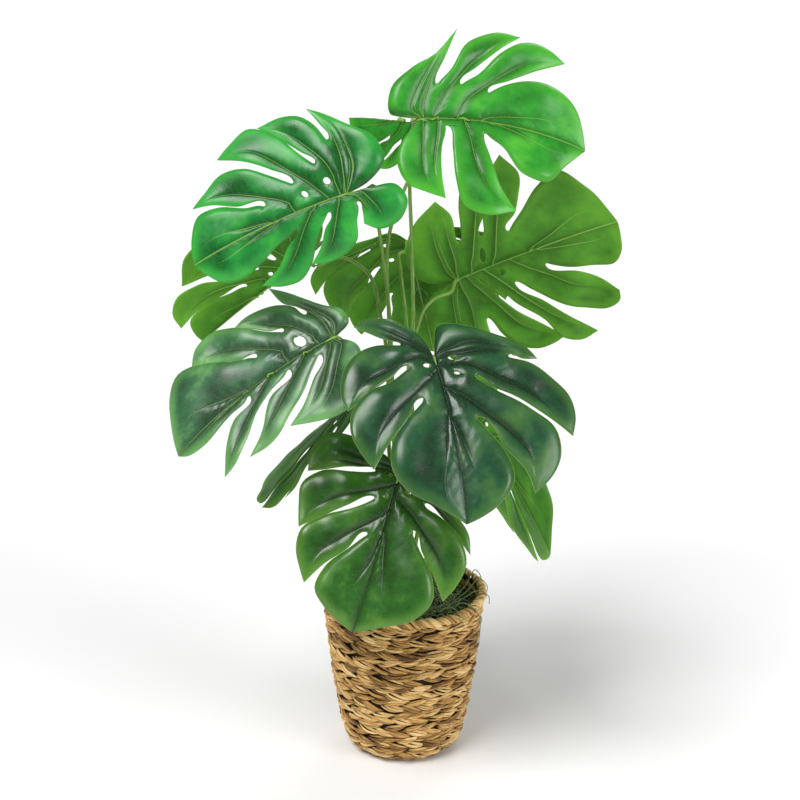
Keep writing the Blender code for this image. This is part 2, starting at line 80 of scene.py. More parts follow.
FEATHERED_LEAF = (
    [([(-14, 2), (-28, 6), (-31, 16), (-22, 26), (-9, 26)], (-2, 20), [(-4, 13)], (-3, 7)),
     ([(1, 17), (5, 27), (15, 33), (27, 34)], (36, 31), [(27, 24), (20, 15)], (14, 7)),
     ([(27, 19), (36, 31), (46, 37), (57, 36)], (69, 30), [(55, 25), (44, 16)], (36, 9)),
     ([(49, 13), (62, 18), (76, 21), (88, 18), (96, 8)], LEAF_TIP, [], None)],
    [([(-15, 2), (-27, 10), (-27, 23), (-16, 38), (-5, 51)], (4, 58), [(0, 46)], (-1, 35)),
     ([(3, 46), (9, 54), (20, 59)], (35, 59), [(24, 45), (16, 33)], (11, 23)),
     ([(17, 32), (27, 50), (41, 61), (54, 56)], (64, 51), [(50, 42), (37, 31)], (27, 17)),
     ([(38, 27), (52, 38), (67, 41), (78, 35)], (88, 30), [(76, 26), (62, 18)], (47, 11)),
     ([(58, 15), (73, 23), (87, 24), (96, 13)], LEAF_TIP, [], None)])
WIDE_LEAF = (
    [([(-8, 1), (-19, 5), (-28, 17), (-30, 34), (-26, 51)], (-17, 59), [(-7, 51), (0, 43)],
      (4, 31)),
     ([(7, 44), (12, 58), (21, 64), (31, 63)], (39, 60), [(29, 45), (20, 28)], (17, 15)),
     ([(24, 28), (33, 45), (38, 62), (46, 68)], (57, 65), [(50, 53), (40, 34)], (30, 15)),
     ([(36, 23), (45, 35), (56, 46), (68, 52), (79, 48)], (82, 41), [(77, 33), (66, 22)],
      (51, 11)),
     ([(59, 16), (72, 21), (87, 24), (94, 18), (98, 8)], LEAF_TIP, [], None)],
    [([(-6, 1), (-15, 4), (-21, 13), (-17, 28), (-7, 39)], (12, 48), [(16, 38)], (13, 21)),
     ([(18, 29), (23, 41), (31, 52), (39, 57)], (47, 56), [(41, 42), (33, 30)], (26, 19)),
     ([(32, 29), (41, 40), (48, 52)], (57, 59), [(62, 45), (56, 33), (50, 25)], (41, 16)),
     ([(54, 25), (68, 35), (83, 39), (93, 27), (98, 9)], LEAF_TIP, [], None)])
HOOKED_LEAF = (
    [WIDE_LEAF[0][0], WIDE_LEAF[0][1],
     ([(24, 28), (36, 50), (52, 66), (70, 66)], (85, 50), [(70, 44), (50, 32)], (32, 19)),
     ([(57, 28), (75, 42), (93, 45), (104, 36)], (106, 22), [(84, 25), (66, 20)], (47, 13)),
     ([(60, 17), (84, 25), (97, 22), (101, 9)], LEAF_TIP, [], None)],
    WIDE_LEAF[1])
NARROW_LEAF = (
    [([(-7, 12), (-3, 26), (6, 38), (18, 40), (31, 36)], (42, 31), [(30, 25), (20, 16)], (11, 6)),
     ([(19, 12), (28, 20), (38, 25), (49, 31), (58, 32)], (67, 31), [(54, 23), (43, 12)], (28, 4)),
     ([(42, 9), (53, 14), (64, 22), (75, 28)], (84, 29), [(75, 18), (65, 9)], (52, 3)),
     ([(65, 5), (84, 8), (95, 5)], LEAF_TIP, [], None)],
    [([(-10, 3), (-10, 10), (-4, 17), (3, 27), (10, 38)], (15, 43), [(13, 31)], (6, 18)),
     ([(9, 25), (15, 31), (25, 34), (33, 34)], (40, 32), [(32, 26), (26, 21)], (20, 16)),
     ([(29, 23), (40, 33), (53, 41), (63, 38)], (69, 31), [(55, 22), (46, 16)], (38, 12)),
     ([(48, 17), (63, 28), (78, 34), (88, 26), (96, 10)], LEAF_TIP, [], None)])
HEART_LEAF = (
    [([(-10, 2), (-18, 5), (-15, 21), (-7, 37), (4, 53)], (12, 57), [(11, 48)], (8, 41)),
     ([(14, 52), (23, 62), (36, 70), (49, 71)], (60, 67), [(46, 53), (33, 38), (25, 27)],
      (18, 19)),
     ([(28, 29), (41, 45), (54, 57), (70, 58), (82, 50)], (89, 40), [(76, 36), (62, 27)],
      (42, 14)),
     ([(52, 20), (65, 27), (80, 29), (92, 19), (98, 7)], LEAF_TIP, [], None)],
    [([(-13, 5), (-21, 13), (-28, 25), (-29, 36)], (-24, 42), [(-19, 34), (-13, 24)], (-9, 18)),
     ([(-11, 31), (-6, 45), (6, 55), (17, 58)], (26, 56), [(19, 43), (11, 28)], (6, 16)),
     ([(14, 30), (18, 44), (27, 54), (39, 57), (53, 53)], (62, 48), [(51, 39), (38, 25)],
      (26, 13)),
     ([(37, 25), (50, 36), (64, 38), (77, 31), (87, 17)], LEAF_TIP, [], None)])
SHIELD_LEAF = (
    [([(-8, 3), (-16, 9), (-18, 20), (-11, 33), (-1, 43)], (7, 47), [(7, 35)], (2, 16)),
     ([(6, 27), (14, 40), (24, 51)], (35, 55), [(26, 43), (18, 32)], (13, 20)),
     ([(18, 31), (27, 46), (40, 54), (55, 52)], (66, 47), [(53, 37), (41, 26)], (31, 17)),
     ([(41, 25), (53, 36), (68, 41), (81, 34), (91, 17)], LEAF_TIP, [], None)],
    [([(-7, 8), (-11, 20), (-14, 38), (-10, 52), (2, 57)], (14, 55), [(9, 42), (3, 26)], (2, 15)),
     ([(7, 29), (12, 48), (22, 56), (36, 54)], (48, 50), [(38, 39), (27, 25)], (18, 11)),
     ([(28, 22), (37, 38), (48, 48), (61, 48), (72, 42)], (79, 37), [(65, 29), (52, 18)], (40, 9)),
     ([(51, 17), (66, 28), (80, 30), (90, 20), (97, 7)], LEAF_TIP, [], None)])
HANGING_HALF = [
    ([(-7, 8), (-5, 25), (3, 48), (15, 67), (27, 74)], (39, 73), [(27, 62), (17, 49), (10, 38)],
     (3, 26)),
    ([(12, 42), (20, 55), (33, 66), (50, 66)], (67, 57), [(52, 48), (36, 36)], (20, 23)),
    ([(28, 29), (40, 43), (52, 52), (64, 53)], (77, 48), [(68, 36), (56, 26)], (45, 19)),
    ([(59, 22), (70, 25), (84, 22), (95, 11)], LEAF_TIP, [], None)]
HANGING_LEAF = (HANGING_HALF, HANGING_HALF)

# Holes beside the midrib lie on the seams between two lobes. Each is (half, seam): its centre and
# half its length, as shares of the seam, and half its width, in hundredths of the leaf's length.
NO_HOLES = {}
FEATHERED_HOLES = {(1, 1): (0.47, 0.10, 2.0), (1, 2): (0.47, 0.13, 1.5)}
WIDE_HOLES = {(1, 1): (0.40, 0.23, 1.7), (0, 2): (0.42, 0.11, 1.5), (0, 1): (0.47, 0.16, 1.2)}
NARROW_HOLES = {(1, 1): (0.40, 0.19, 2.6)}
HEART_HOLES = {(0, 0): (0.24, 0.065, 1.4), (0, 1): (0.50, 0.08, 0.9), (1, 1): (0.37, 0.14, 1.4)}
SHIELD_HOLES = {(0, 1): (0.42, 0.085, 1.3), (1, 1): (0.42, 0.12, 1.4), (1, 0): (0.34, 0.08, 1.0)}
HANGING_HOLES = {(0, 0): (0.60, 0.07, 1.7), (0, 1): (0.62, 0.08, 1.7)}

# Each leaf: where its base is, which way the midrib leaves it, which way its upper face looks, and
# its length. fold is how far the left and right halves rise from the midrib, in degrees; curl is
# how fast they go on rising, droop how fast the midrib bends down, both in 1/m; sweep bows the
# midrib sideways, as a share of the length. crown is the petiole's place on the root crown, as
# ring radius and compass angle, and route the points that it passes on its way up. quilt is how
# strongly the blade swells between its veins.
INNER_RING = 0.0036
OUTER_RING = 0.0104
LEAVES = {
    "top_right": dict(
        outline=BROAD_LEAF, base=(0.017, -0.035, 0.724), towards=(0.99, 0.02, -0.16),
        facing=(0.10, -0.86, 0.50), length=0.175, fold=(6, 6), curl=(-2, -2), droop=1.2,
        sweep=0.05,
        crown=(INNER_RING, -60), route=[(0.006, -0.012, 0.35), (0.010, -0.020, 0.50),
                                        (0.008, -0.028, 0.60), (0.006, -0.030, 0.66)],
        holes=NO_HOLES, finish="bright", quilt=1.0),
    "top_left": dict(
        outline=FEATHERED_LEAF, base=(-0.057, -0.070, 0.654), towards=(-0.92, -0.07, -0.38),
        facing=(-0.15, -0.84, 0.52), length=0.175, fold=(-16, 8), curl=(-5, -2.5), droop=1.2,
        sweep=-0.02,
        crown=(INNER_RING, 180), route=[(-0.010, -0.003, 0.35), (-0.018, -0.003, 0.54),
                                        (-0.026, -0.012, 0.605), (-0.033, -0.032, 0.654)],
        holes=FEATHERED_HOLES, finish="emerald", quilt=0.95),
    "top_back": dict(
        outline=BROAD_LEAF, base=(0.015, 0.030, 0.712), towards=(-0.81, 0.58, 0.02),
        facing=(-0.22, -0.34, 0.91), length=0.093, fold=(-50, -38), curl=(-3, -3), droop=1.0,
        sweep=0.0,
        crown=(OUTER_RING, 90), route=[(-0.008, 0.012, 0.35), (-0.016, 0.012, 0.50),
                                       (-0.014, 0.015, 0.60), (0.005, 0.024, 0.65)],
        holes=NO_HOLES, finish="bright", quilt=0.7),
    "right": dict(
        outline=WIDE_LEAF, base=(0.059, 0.060, 0.535), towards=(0.87, -0.25, 0.43),
        facing=(0.12, 0.94, 0.30), length=0.196, fold=(-4, -4), curl=(2, 2), droop=1.0, sweep=0.0,
        crown=(OUTER_RING, 45), route=[(0.012, 0.010, 0.35), (0.014, 0.008, 0.49),
                                       (0.024, 0.018, 0.513), (0.037, 0.028, 0.522)],
        holes=WIDE_HOLES, finish="olive", quilt=1.15),
    "left_back": dict(
        outline=HOOKED_LEAF, base=(-0.110, 0.045, 0.561), towards=(-0.80, -0.16, -0.58),
        facing=(-0.37, 0.89, 0.25), length=0.142, fold=(-5, 60), curl=(2, 0), droop=1.0, sweep=0.0,
        crown=(OUTER_RING, 135), route=[(-0.016, 0.010, 0.35), (-0.024, 0.008, 0.50),
                                        (-0.040, 0.016, 0.553), (-0.068, 0.026, 0.566)],
        holes=WIDE_HOLES, finish="olive", quilt=1.15),
    "hanging": dict(
        outline=HANGING_LEAF, base=(0.004, 0.090, 0.572), towards=(0.19, 0.44, -0.88),
        facing=(0.0, 0.89, 0.45), length=0.165, fold=(0, 0), curl=(1, 1), droop=0.5, sweep=0.0,
        crown=(INNER_RING, 60), route=[(0.004, 0.003, 0.35), (0.003, 0.001, 0.50),
                                       (-0.003, 0.014, 0.550), (-0.005, 0.040, 0.566)],
        holes=HANGING_HOLES, finish="olive", quilt=1.15),
    "left": dict(
        outline=NARROW_LEAF, base=(-0.073, -0.075, 0.506), towards=(-0.84, -0.18, -0.51),
        facing=(-0.25, -0.70, 0.67), length=0.209, fold=(6, 12), curl=(-4, -4), droop=1.5,
        sweep=-0.03,
        crown=(OUTER_RING, -135), route=[(-0.020, -0.020, 0.33), (-0.042, -0.040, 0.43)],
        holes=NARROW_HOLES, finish="pale", quilt=1.3),
    "centre": dict(
        outline=HEART_LEAF, base=(0.031, -0.100, 0.492), towards=(0.19, -0.68, -0.71),
        facing=(0.05, -0.72, 0.70), length=0.179, fold=(8, 8), curl=(-3, -3), droop=2.0,
        sweep=0.02,
        crown=(OUTER_RING, -45), route=[(0.012, -0.028, 0.33), (0.022, -0.055, 0.43)],
        holes=HEART_HOLES, finish="dark", quilt=1.4),
    "front": dict(
        outline=SHIELD_LEAF, base=(-0.005, -0.085, 0.358), towards=(-0.30, -0.48, -0.83),
        facing=(-0.08, -0.85, 0.52), length=0.173, fold=(10, 10), curl=(-3, -3), droop=1.5,
        sweep=0.01,
        crown=(OUTER_RING, -90), route=[(-0.001, -0.022, 0.26), (-0.001, -0.044, 0.32)],
        holes=SHIELD_HOLES, finish="middle", quilt=1.4),
    "low_left": dict(
        outline=SHIELD_LEAF, base=(-0.061, 0.010, 0.403), towards=(-0.57, 0.56, -0.60),
        facing=(-0.60, 0.22, 0.77), length=0.189, fold=(-14, 8), curl=(-2, -2), droop=0.5,
        sweep=0.0,
        crown=(OUTER_RING, 180), route=[(-0.016, 0.001, 0.27), (-0.028, 0.001, 0.345)],
        holes=SHIELD_HOLES, finish="soft", quilt=0.35),
    "low_right": dict(
        outline=SHIELD_LEAF, base=(0.082, 0.020, 0.383), towards=(0.50, 0.15, -0.85),
        facing=(0.84, 0.15, 0.52), length=0.196, fold=(34, -14), curl=(-1, -1), droop=0.5,
        sweep=0.0,
        crown=(OUTER_RING, 0), route=[(0.018, 0.003, 0.27), (0.036, 0.009, 0.34)],
        holes=SHIELD_HOLES, finish="soft", quilt=0.35),
}

# Other sizes
WEAVE_SIDES = 6
ROW_SLANTS = (-0.0036, 0.0020)  # how far a stitch rises, in rows with even and odd numbers
BLADE_SPREAD = 0.0026           # between the three blades of a stitch
FIRST_ROW_DROP = 0.0125         # from the rim to the first row of the weave
LAST_ROW_RUN = 0.006            # from the foot's centre to the last row
INNER_ROW_DROP = 0.014          # from the rim to the first row inside
INNER_ROW_PITCH = 0.0085
INNER_WALL = 0.0082             # from the wall's outside to the core's inside
LEAST_STITCH_HEIGHT = 0.0024    # of a stitch's centre over the floor
RIM_STRANDS = 46
RIM_RADIUS = 0.0046             # of the small ring that the rim's strands wrap
CROWN_SINK = 0.004              # how deep the petioles' feet sit in the crown
HEAD_DEPTH = 0.0042             # of a petiole's head below the blade's base
NECK_DROP = 0.0225              # from the head down to the neck
NECK_BACK = 0.0055              # from the head back to the neck, along the midrib
GRIP = 0.010                    # how far a petiole runs on under its blade
GRIP_DEPTH = 0.0021
MOSS_INNER = 0.012              # radius of the hole round the crown
MOSS_OVERLAP = 0.0012           # how far the moss reaches into the weave
MOSS_LANES = 96
CORE_LANES = 96
CORE_RIM_GAP = 0.004            # between the core's top and the rim's
FLOOR_REACH = 60.0
AIM_ACROSS = -0.004
SOFTBOXES = {"key": (-0.42, -0.52, 0.92), "fill": (0.85, -0.62, 0.40), "back": (0.30, 0.75, 0.60)}

# Threads that spill over the rim: compass angle, drop below the rim, and height of the arch
SPILLING_THREADS = ((-38, 0.048, 0.0005), (-12, 0.018, 0.0), (4, 0.016, 0.004), (18, 0.014, 0.006),
                    (-52, 0.010, 0.002), (150, 0.012, 0.004), (-150, 0.012, 0.002),
                    (95, 0.010, 0.003))

# The basket's side: (height, radius) from the foot to the rim, scaled to the frame's rim
WALL = ((0.0, 0.056), (0.004, 0.0625), (0.013, 0.0686), (0.030, 0.0740), (0.068, 0.0805),
        (0.107, 0.0860), (0.150, 0.0905), (0.182, 0.0940))

# Blades and their relief
SIDE_VEIN_LEAN = 0.85           # run along the vein for each step away from it
SIDE_VEIN_PITCH = 0.0085
VALLEY_WIDTH = 0.0060           # distance in which a valley beside a vein flattens out
MOST_SHIFT = 0.008              # between a blade and its node of the frame
NEAREST_BLOCK = 1500            # points that are compared at once, to spare memory

# Mesh of a blade
COLUMNS_PER_INTERVAL = 12       # between neighbouring seams on the midrib
SEAM_LEAN = 0.45                # how far a seam leans towards the tip on its way to the slit
SEAM_SPACING = 4.0              # least distance between two seams of one half along the midrib
SEAM_MERGE = 3.0                # seams of both halves that are nearer than this share a mark
LAST_LOBE_RUN = 9.0             # length of midrib from which the last lobes open
SLIT_END_RADIUS = 1.0           # hundredths of the leaf's length
NEAR_ROOT_SHARE = 0.22          # share of the first near edge that lies beside the joined rows
FAR_ROOT_SHARE = 0.3            # the same for the last far edge
LANE_CROWDING = 1.55            # columns crowd towards each lobe's veins by this power
JOINED = np.linspace(0, 1, 23) ** 1.35              # rows from the midrib to the slits' ends
FREE = 1 - (1 - np.linspace(0, 1, 35)[1:] ** 1.5) ** 1.35   # rows from there to the lobes' tips


# ---------------------------------------------------------------------------------------------
# Meshes from arrays
# ---------------------------------------------------------------------------------------------
def unit(vectors):
    vectors = np.asarray(vectors, float)
    return vectors / np.maximum(np.linalg.norm(vectors, axis=-1, keepdims=True), 1e-12)


def smooth_step(value, low, high):
    """0 below low, 1 above high, and 3t^2 - 2t^3 between them."""
    t = np.clip((value - low) / (high - low), 0, 1)
    return t * t * (3 - 2 * t)


def curve(points, knots, at):
    """Points of the cubic Hermite curve that passes the given points at the given knots."""
    slopes = np.gradient(points, knots, axis=0)
    i = np.clip(np.searchsorted(knots, at, side="right") - 1, 0, len(points) - 2)
    span = (knots[i + 1] - knots[i])[:, None]
    u = (at - knots[i])[:, None] / span
    return ((2 * u**3 - 3 * u**2 + 1) * points[i] + (u**3 - 2 * u**2 + u) * span * slopes[i]
            + (3 * u**2 - 2 * u**3) * points[i + 1] + (u**3 - u**2) * span * slopes[i + 1])


def smooth_path(points, shares):
    """Points of a smooth curve through the given points, at shares of its chord length."""
    points = np.asarray(points, float)
    steps = np.linalg.norm(np.diff(points, axis=0), axis=1)
    return curve(points, np.concatenate([[0.0], np.cumsum(steps)]) / steps.sum(), shares)


def put_piece(name, points, groups, finishes, replaces=(), flat_finish=-1):
    """Make a mesh piece and tie it to the frame. Each group of faces is (corner indices, finish
    index, {layer name: coordinates of every corner}). Faces with flat_finish aren't smoothed."""
    mesh = bpy.data.meshes.new(name)
    mesh.vertices.add(len(points))
    mesh.vertices.foreach_set("co", np.ascontiguousarray(points, np.float32).ravel())
    totals = np.concatenate([np.full(len(faces), faces.shape[1]) for faces, _, _ in groups])
    corners = np.concatenate([faces.ravel() for faces, _, _ in groups])
    starts = np.concatenate([[0], np.cumsum(totals)[:-1]])
    which = np.concatenate([np.full(len(faces), index) for faces, index, _ in groups])
    mesh.loops.add(len(corners))
    mesh.loops.foreach_set("vertex_index", corners.astype(np.int32))
    mesh.polygons.add(len(totals))
    mesh.polygons.foreach_set("loop_start", starts.astype(np.int32))
    mesh.polygons.foreach_set("material_index", which.astype(np.int32))
    for layer in groups[0][2]:
        values = np.concatenate([layers[layer].reshape(-1, 2) for _, _, layers in groups])
        mesh.uv_layers.new(name=layer).data.foreach_set("uv", values.astype(np.float32).ravel())
    mesh.polygons.foreach_set("use_smooth", which != flat_finish)
    mesh.update(calc_edges=True)
    if mesh.validate():
        raise RuntimeError(f"the mesh of {name} has faces that aren't valid")
    for finish in finishes:
        mesh.materials.append(finish)
    piece = bpy.data.objects.new(name, mesh)
    bpy.context.scene.collection.objects.link(piece)
    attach(piece, BODY)
    if replaces:
        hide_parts(*replaces)
    return piece


def strands(path, outward, half_width, half_depth, sides, tone):
    """Many closed strands at once. path is (strand, station, xyz) and outward the way that each
    strand's flat side looks; a section is an ellipse, half_width along the flat and half_depth
    through it: centre + half_width cos(a) side + half_depth sin(a) outward. The ends are capped.
    Returns points and groups of faces, with layers for grain and for each strand's tone."""
    count, stations = path.shape[:2]
    along = unit(np.gradient(path, axis=1))
    side = unit(np.cross(along, outward))
    outward = np.cross(side, along)
    turn = 2 * math.pi * np.arange(sides) / sides
    points = (path[:, :, None]
              + (half_width[..., None] * np.cos(turn))[..., None] * side[:, :, None]
              + (half_depth[..., None] * np.sin(turn))[..., None] * outward[:, :, None])
    steps = np.linalg.norm(np.diff(path, axis=1), axis=2)
    run = np.concatenate([np.zeros((count, 1)), np.cumsum(steps, axis=1)], axis=1)
    n, i, j = np.meshgrid(np.arange(count), np.arange(stations - 1), np.arange(sides),
                          indexing="ij")
    at = lambda station, lane: (n * stations + station) * sides + lane % sides
    faces = np.stack([at(i, j), at(i, j + 1), at(i + 1, j + 1), at(i + 1, j)], axis=-1)
    around = np.stack([j, j + 1, j + 1, j], axis=-1) / sides
    length = np.stack([run[n, i], run[n, i], run[n, i + 1], run[n, i + 1]], axis=-1)
    share = length / run[n, -1][..., None]
    shade = np.broadcast_to(np.asarray(tone)[n][..., None], share.shape)
    groups = [(faces.reshape(-1, 4), 0, {"grain": np.stack([around, length * 100], axis=-1),
                                         "tone": np.stack([shade, share], axis=-1)})]
    for station, order in ((0, slice(None, None, -1)), (stations - 1, slice(None))):
        ring = (np.arange(count)[:, None] * stations + station) * sides + np.arange(sides)[order]
        fill = np.zeros((count, sides, 2))
        fill[..., 0] = np.asarray(tone)[:, None]
        fill[..., 1] = float(station > 0)
        groups.append((ring, 0, {"grain": np.zeros((count, sides, 2)), "tone": fill}))
    return points.reshape(-1, 3), groups


def woven(path, outward, half_width, half_depth, tone):
    """Strands of a weave, from arrays of (stitch, blade, station)."""
    def listed(a):
        whole = np.broadcast_to(a, (*path.shape[:3], *a.shape[3:]))
        return whole.reshape(-1, *whole.shape[2:])

    return strands(listed(path), listed(outward), listed(half_width), listed(half_depth),
                   WEAVE_SIDES, tone.ravel())


def round_axis(radius, angle, height):
    """Points at a radius, angle and height round the plant's axis."""
    return np.stack(np.broadcast_arrays(radius * np.cos(angle), radius * np.sin(angle), height),
                    axis=-1)


def turned_faces(rows, lanes, closed):
    """Faces between the rings of a turned piece, with each corner's row and lane. If it is closed,
    the last ring joins the first."""
    i, j = np.meshgrid(np.arange(rows if closed else rows - 1), np.arange(lanes), indexing="ij")
    row = np.stack([i, i, i + 1, i + 1], axis=-1).reshape(-1, 4)
    lane = np.stack([j, j + 1, j + 1, j], axis=-1).reshape(-1, 4)
    return row % rows * lanes + lane % lanes, row, lane


def joined(parts):
    """Several sets of points and face groups as one."""
    points, groups, first = [], [], 0
    for part, faces in parts:
        groups += [(corners + first, index, layers) for corners, index, layers in faces]
        points.append(part)
        first += len(part)
    return np.concatenate(points), groups


# ---------------------------------------------------------------------------------------------
# Finishes
# ---------------------------------------------------------------------------------------------
PALE_EDGE = (0.26, 0.46, 0.08)
DRY_BROWN = (0.13, 0.075, 0.03)


def shaded(colour, share):
    return tuple(channel * share for channel in colour)


def mixed(first, second, share):
    return tuple(a + (b - a) * share for a, b in zip(first, second))


class Finish:
    """A material built from nodes; every helper takes sockets or plain values."""

    def __init__(self, name, roughness=0.5, **constants):
        self.material = bpy.data.materials.new(name)
        self.material.use_nodes = True
        self.tree = self.material.node_tree
        self.shader = self.tree.nodes["Principled BSDF"]
        self.shader.inputs["Roughness"].default_value = roughness
        for socket, value in constants.items():
            self.shader.inputs[socket.replace("_", " ")].default_value = value

    def node(self, kind, inputs=(), **settings):
        made = self.tree.nodes.new("ShaderNode" + kind)
        for key, value in settings.items():
            setattr(made, key, value)
        for key, value in dict(inputs).items():
            self.feed(made.inputs[key], value)
        return made

    def feed(self, socket, value):
        if isinstance(value, bpy.types.NodeSocket):
            self.tree.links.new(value, socket)
        elif isinstance(value, tuple) and len(value) == 3 and len(socket.default_value) == 4:
            socket.default_value = (*value, 1.0)
        else:
            socket.default_value = value

    def set(self, socket, value):
        self.feed(self.shader.inputs[socket], value)

    def math(self, operation, *values):
        return self.node("Math", enumerate(values), operation=operation).outputs[0]

    def band(self, value, low, high, start=0.0, end=1.0):
        """A smooth step of value from low to high."""
        made = self.node("MapRange", {0: value, 1: low, 2: high, 3: start, 4: end},
                         interpolation_type="SMOOTHSTEP")
        return made.outputs[0]

    def mix(self, factor, first, second):
        """Two colours mixed. The node's sockets 6 and 7 and its output 2 are those for colour."""
        made = self.node("Mix", {0: factor, 6: first, 7: second}, data_type="RGBA")
        return made.outputs[2]

    def product(self, first, second):
        return self.math("MULTIPLY", first, second)

    def ramp(self, factor, stops):
        made = self.node("ValToRGB", {0: factor})
        ramp = made.color_ramp
        for place, colour in stops[2:]:
            ramp.elements.new(place)
        for element, (place, colour) in zip(ramp.elements, sorted(stops)):
            element.position = place
            element.color = (*colour, 1.0)
        return made.outputs[0]

    def position(self):
        return self.node("TexCoord").outputs["Object"]

    def layer(self, name):
        parts = self.node("SeparateXYZ", {0: self.node("UVMap", uv_map=name).outputs[0]})
        return parts.outputs[0], parts.outputs[1]

    def vector(self, x, y, z=0.0):
        return self.node("CombineXYZ", {0: x, 1: y, 2: z}).outputs[0]

    def noise(self, where, scale, detail=3.0, roughness=0.5):
        made = self.node("TexNoise", {"Vector": where, "Scale": scale, "Detail": detail,
                                      "Roughness": roughness})
        return made.outputs[0]

    def cells(self, where, scale):
        """Distance to the walls of a net of cells."""
        made = self.node("TexVoronoi", {"Vector": where, "Scale": scale},
                         feature="DISTANCE_TO_EDGE")
        return made.outputs[0]

    def relief(self, *layers):
        """Bumps laid over each other, each given as (height, strength, depth in metres)."""
        normal = None
        for height, strength, depth in layers:
            made = self.node("Bump", {"Height": height, "Strength": strength, "Distance": depth})
            if normal:
                self.feed(made.inputs["Normal"], normal)
            normal = made.outputs[0]
        self.set("Normal", normal)


def blade_finish(name, deep, body, light, vein, gloss, line_strength, tip_light, edge_line,
                 specular=0.42):
    """One face of a leaf: a mottled green, darkened with painted shade in the valleys beside the
    veins, that lightens towards the lobes' tips and margins, with fine lines on the veins that
    fade outwards, faint side veins, a net of cells, and a thin pale edge. The layers give
    distances in cm."""
    f = Finish(name, Specular_IOR_Level=specular)
    place = f.position()
    across, along = f.layer("veins")
    margin, rib = f.layer("form")
    share, valley = f.layer("lobe")
    away = f.math("ABSOLUTE", across)
    drift = f.noise(place, 45.0, 2.0)
    mottle = f.noise(place, 22.0, 4.0, 0.6)
    fine = f.noise(place, 900.0, 2.0, 0.6)
    cells = f.cells(place, 420.0)
    fading = f.band(share, 0.35, 0.85, 1.0, 0.0)
    lines = f.math("MAXIMUM", f.product(f.band(away, 0.02, 0.065, 1.0, 0.0), fading),
                   f.band(rib, 0.04, 0.10, 1.0, 0.0))
    lean = f.math("SUBTRACT", along, f.product(away, SIDE_VEIN_LEAN))
    step = f.math("ADD", f.math("DIVIDE", lean, SIDE_VEIN_PITCH * 100), f.product(drift, 1.1))
    side_line = f.product(f.band(f.math("PINGPONG", step, 0.5), 0.0, 0.09, 1.0, 0.0),
                          f.band(away, 0.5, 1.6, 1.0, 0.0))
    outward = f.product(f.band(margin, 0.0, 1.5, 1.0, 0.0), f.band(share, 0.15, 0.9, 0.25, 1.0))
    green = f.ramp(f.math("ADD", f.product(mottle, 0.8), 0.1),
                   [(0.34, deep), (0.70, light), (0.52, body)])
    for amount, colour in ((f.product(outward, tip_light), light),
                           # painted shade: the valleys beside the veins take the deep colour
                           (f.band(valley, 0.08, 0.80, 0.0, 0.88), deep),
                           (f.band(cells, 0.0, 0.16, 0.10, 0.0), light),
                           (f.product(side_line, 0.13), light),
                           (f.band(fine, 0.35, 0.75, 0.0, 0.10), light),
                           # the vein colour; on the middle and dark finishes it is painted shade
                           # in the vein grooves
                           (f.product(lines, line_strength), vein),
                           (f.band(margin, 0.015, 0.06, edge_line, 0.0), PALE_EDGE)):
        green = f.mix(amount, green, colour)
    f.set("Base Color", green)
    rough = f.band(mottle, 0.3, 0.7, gloss - 0.04, gloss + 0.06)
    f.set("Roughness", f.math("ADD", rough, f.product(lines, 0.12)))
    f.relief((cells, 0.25, 0.00025), (f.product(lines, -1.0), 0.5, 0.0005), (fine, 0.2, 0.0002))
    return f.material


def petiole_finish(name, deep, body, light):
    """A smooth stalk: long fine streaks, paler towards the blade, brown flecks near its foot."""
    f = Finish(name, Specular_IOR_Level=0.45)
    around, run = f.layer("grain")
    _, share = f.layer("tone")
    streaks = f.noise(f.vector(f.product(around, 9.0), f.product(run, 0.35)), 2.2, 4.0)
    flecks = f.noise(f.position(), 260.0, 3.0, 0.7)
    green = f.ramp(streaks, [(0.32, deep), (0.68, light), (0.5, body)])
    green = f.mix(f.band(share, 0.72, 1.0, 0.0, 0.45), green, light)
    foot = f.band(share, 0.0, 0.22, 0.75, 0.0)
    green = f.mix(f.product(foot, f.band(flecks, 0.42, 0.62)), green, DRY_BROWN)
    green = f.mix(f.band(flecks, 0.60, 0.75, 0.0, 0.35), green, light)
    f.set("Base Color", green)
    f.set("Roughness", f.band(streaks, 0.3, 0.7, 0.34, 0.50))
    f.relief((streaks, 0.4, 0.0006), (flecks, 0.25, 0.0002))
    return f.material


def straw_finish(name, dark_straw_and_shade, body, light):
    """Dry flat grass: every strand has its own tone, fibres run along it, and its ends are
    darkened with painted shade where they tuck under the next strand."""
    f = Finish(name, Specular_IOR_Level=0.35)
    around, run = f.layer("grain")
    tone, share = f.layer("tone")
    fibre_place = f.vector(f.product(around, 16.0), f.product(run, 0.7), f.product(tone, 31.0))
    fibres = f.noise(fibre_place, 1.6, 4.0, 0.65)
    patches = f.noise(f.position(), 90.0, 3.0, 0.6)
    level = f.math("ADD", f.product(fibres, 0.62), f.product(tone, 0.38))
    straw = f.ramp(level, [(0.35, dark_straw_and_shade), (0.66, light), (0.50, body)])
    straw = f.mix(f.band(patches, 0.52, 0.78, 0.0, 0.55), straw, dark_straw_and_shade)
    # painted shade: the strand's ends go nearly black where they tuck under the next strand
    ends = f.math("MAXIMUM", f.band(share, 0.0, 0.17, 1.0, 0.0),
                  f.band(share, 0.83, 1.0, 0.0, 1.0))
    straw = f.mix(f.product(ends, 0.85), straw, shaded(dark_straw_and_shade, 0.3))
    f.set("Base Color", straw)
    f.set("Roughness", f.band(fibres, 0.3, 0.7, 0.36, 0.62))
    f.relief((fibres, 0.9, 0.0012), (patches, 0.2, 0.0004))
    return f.material


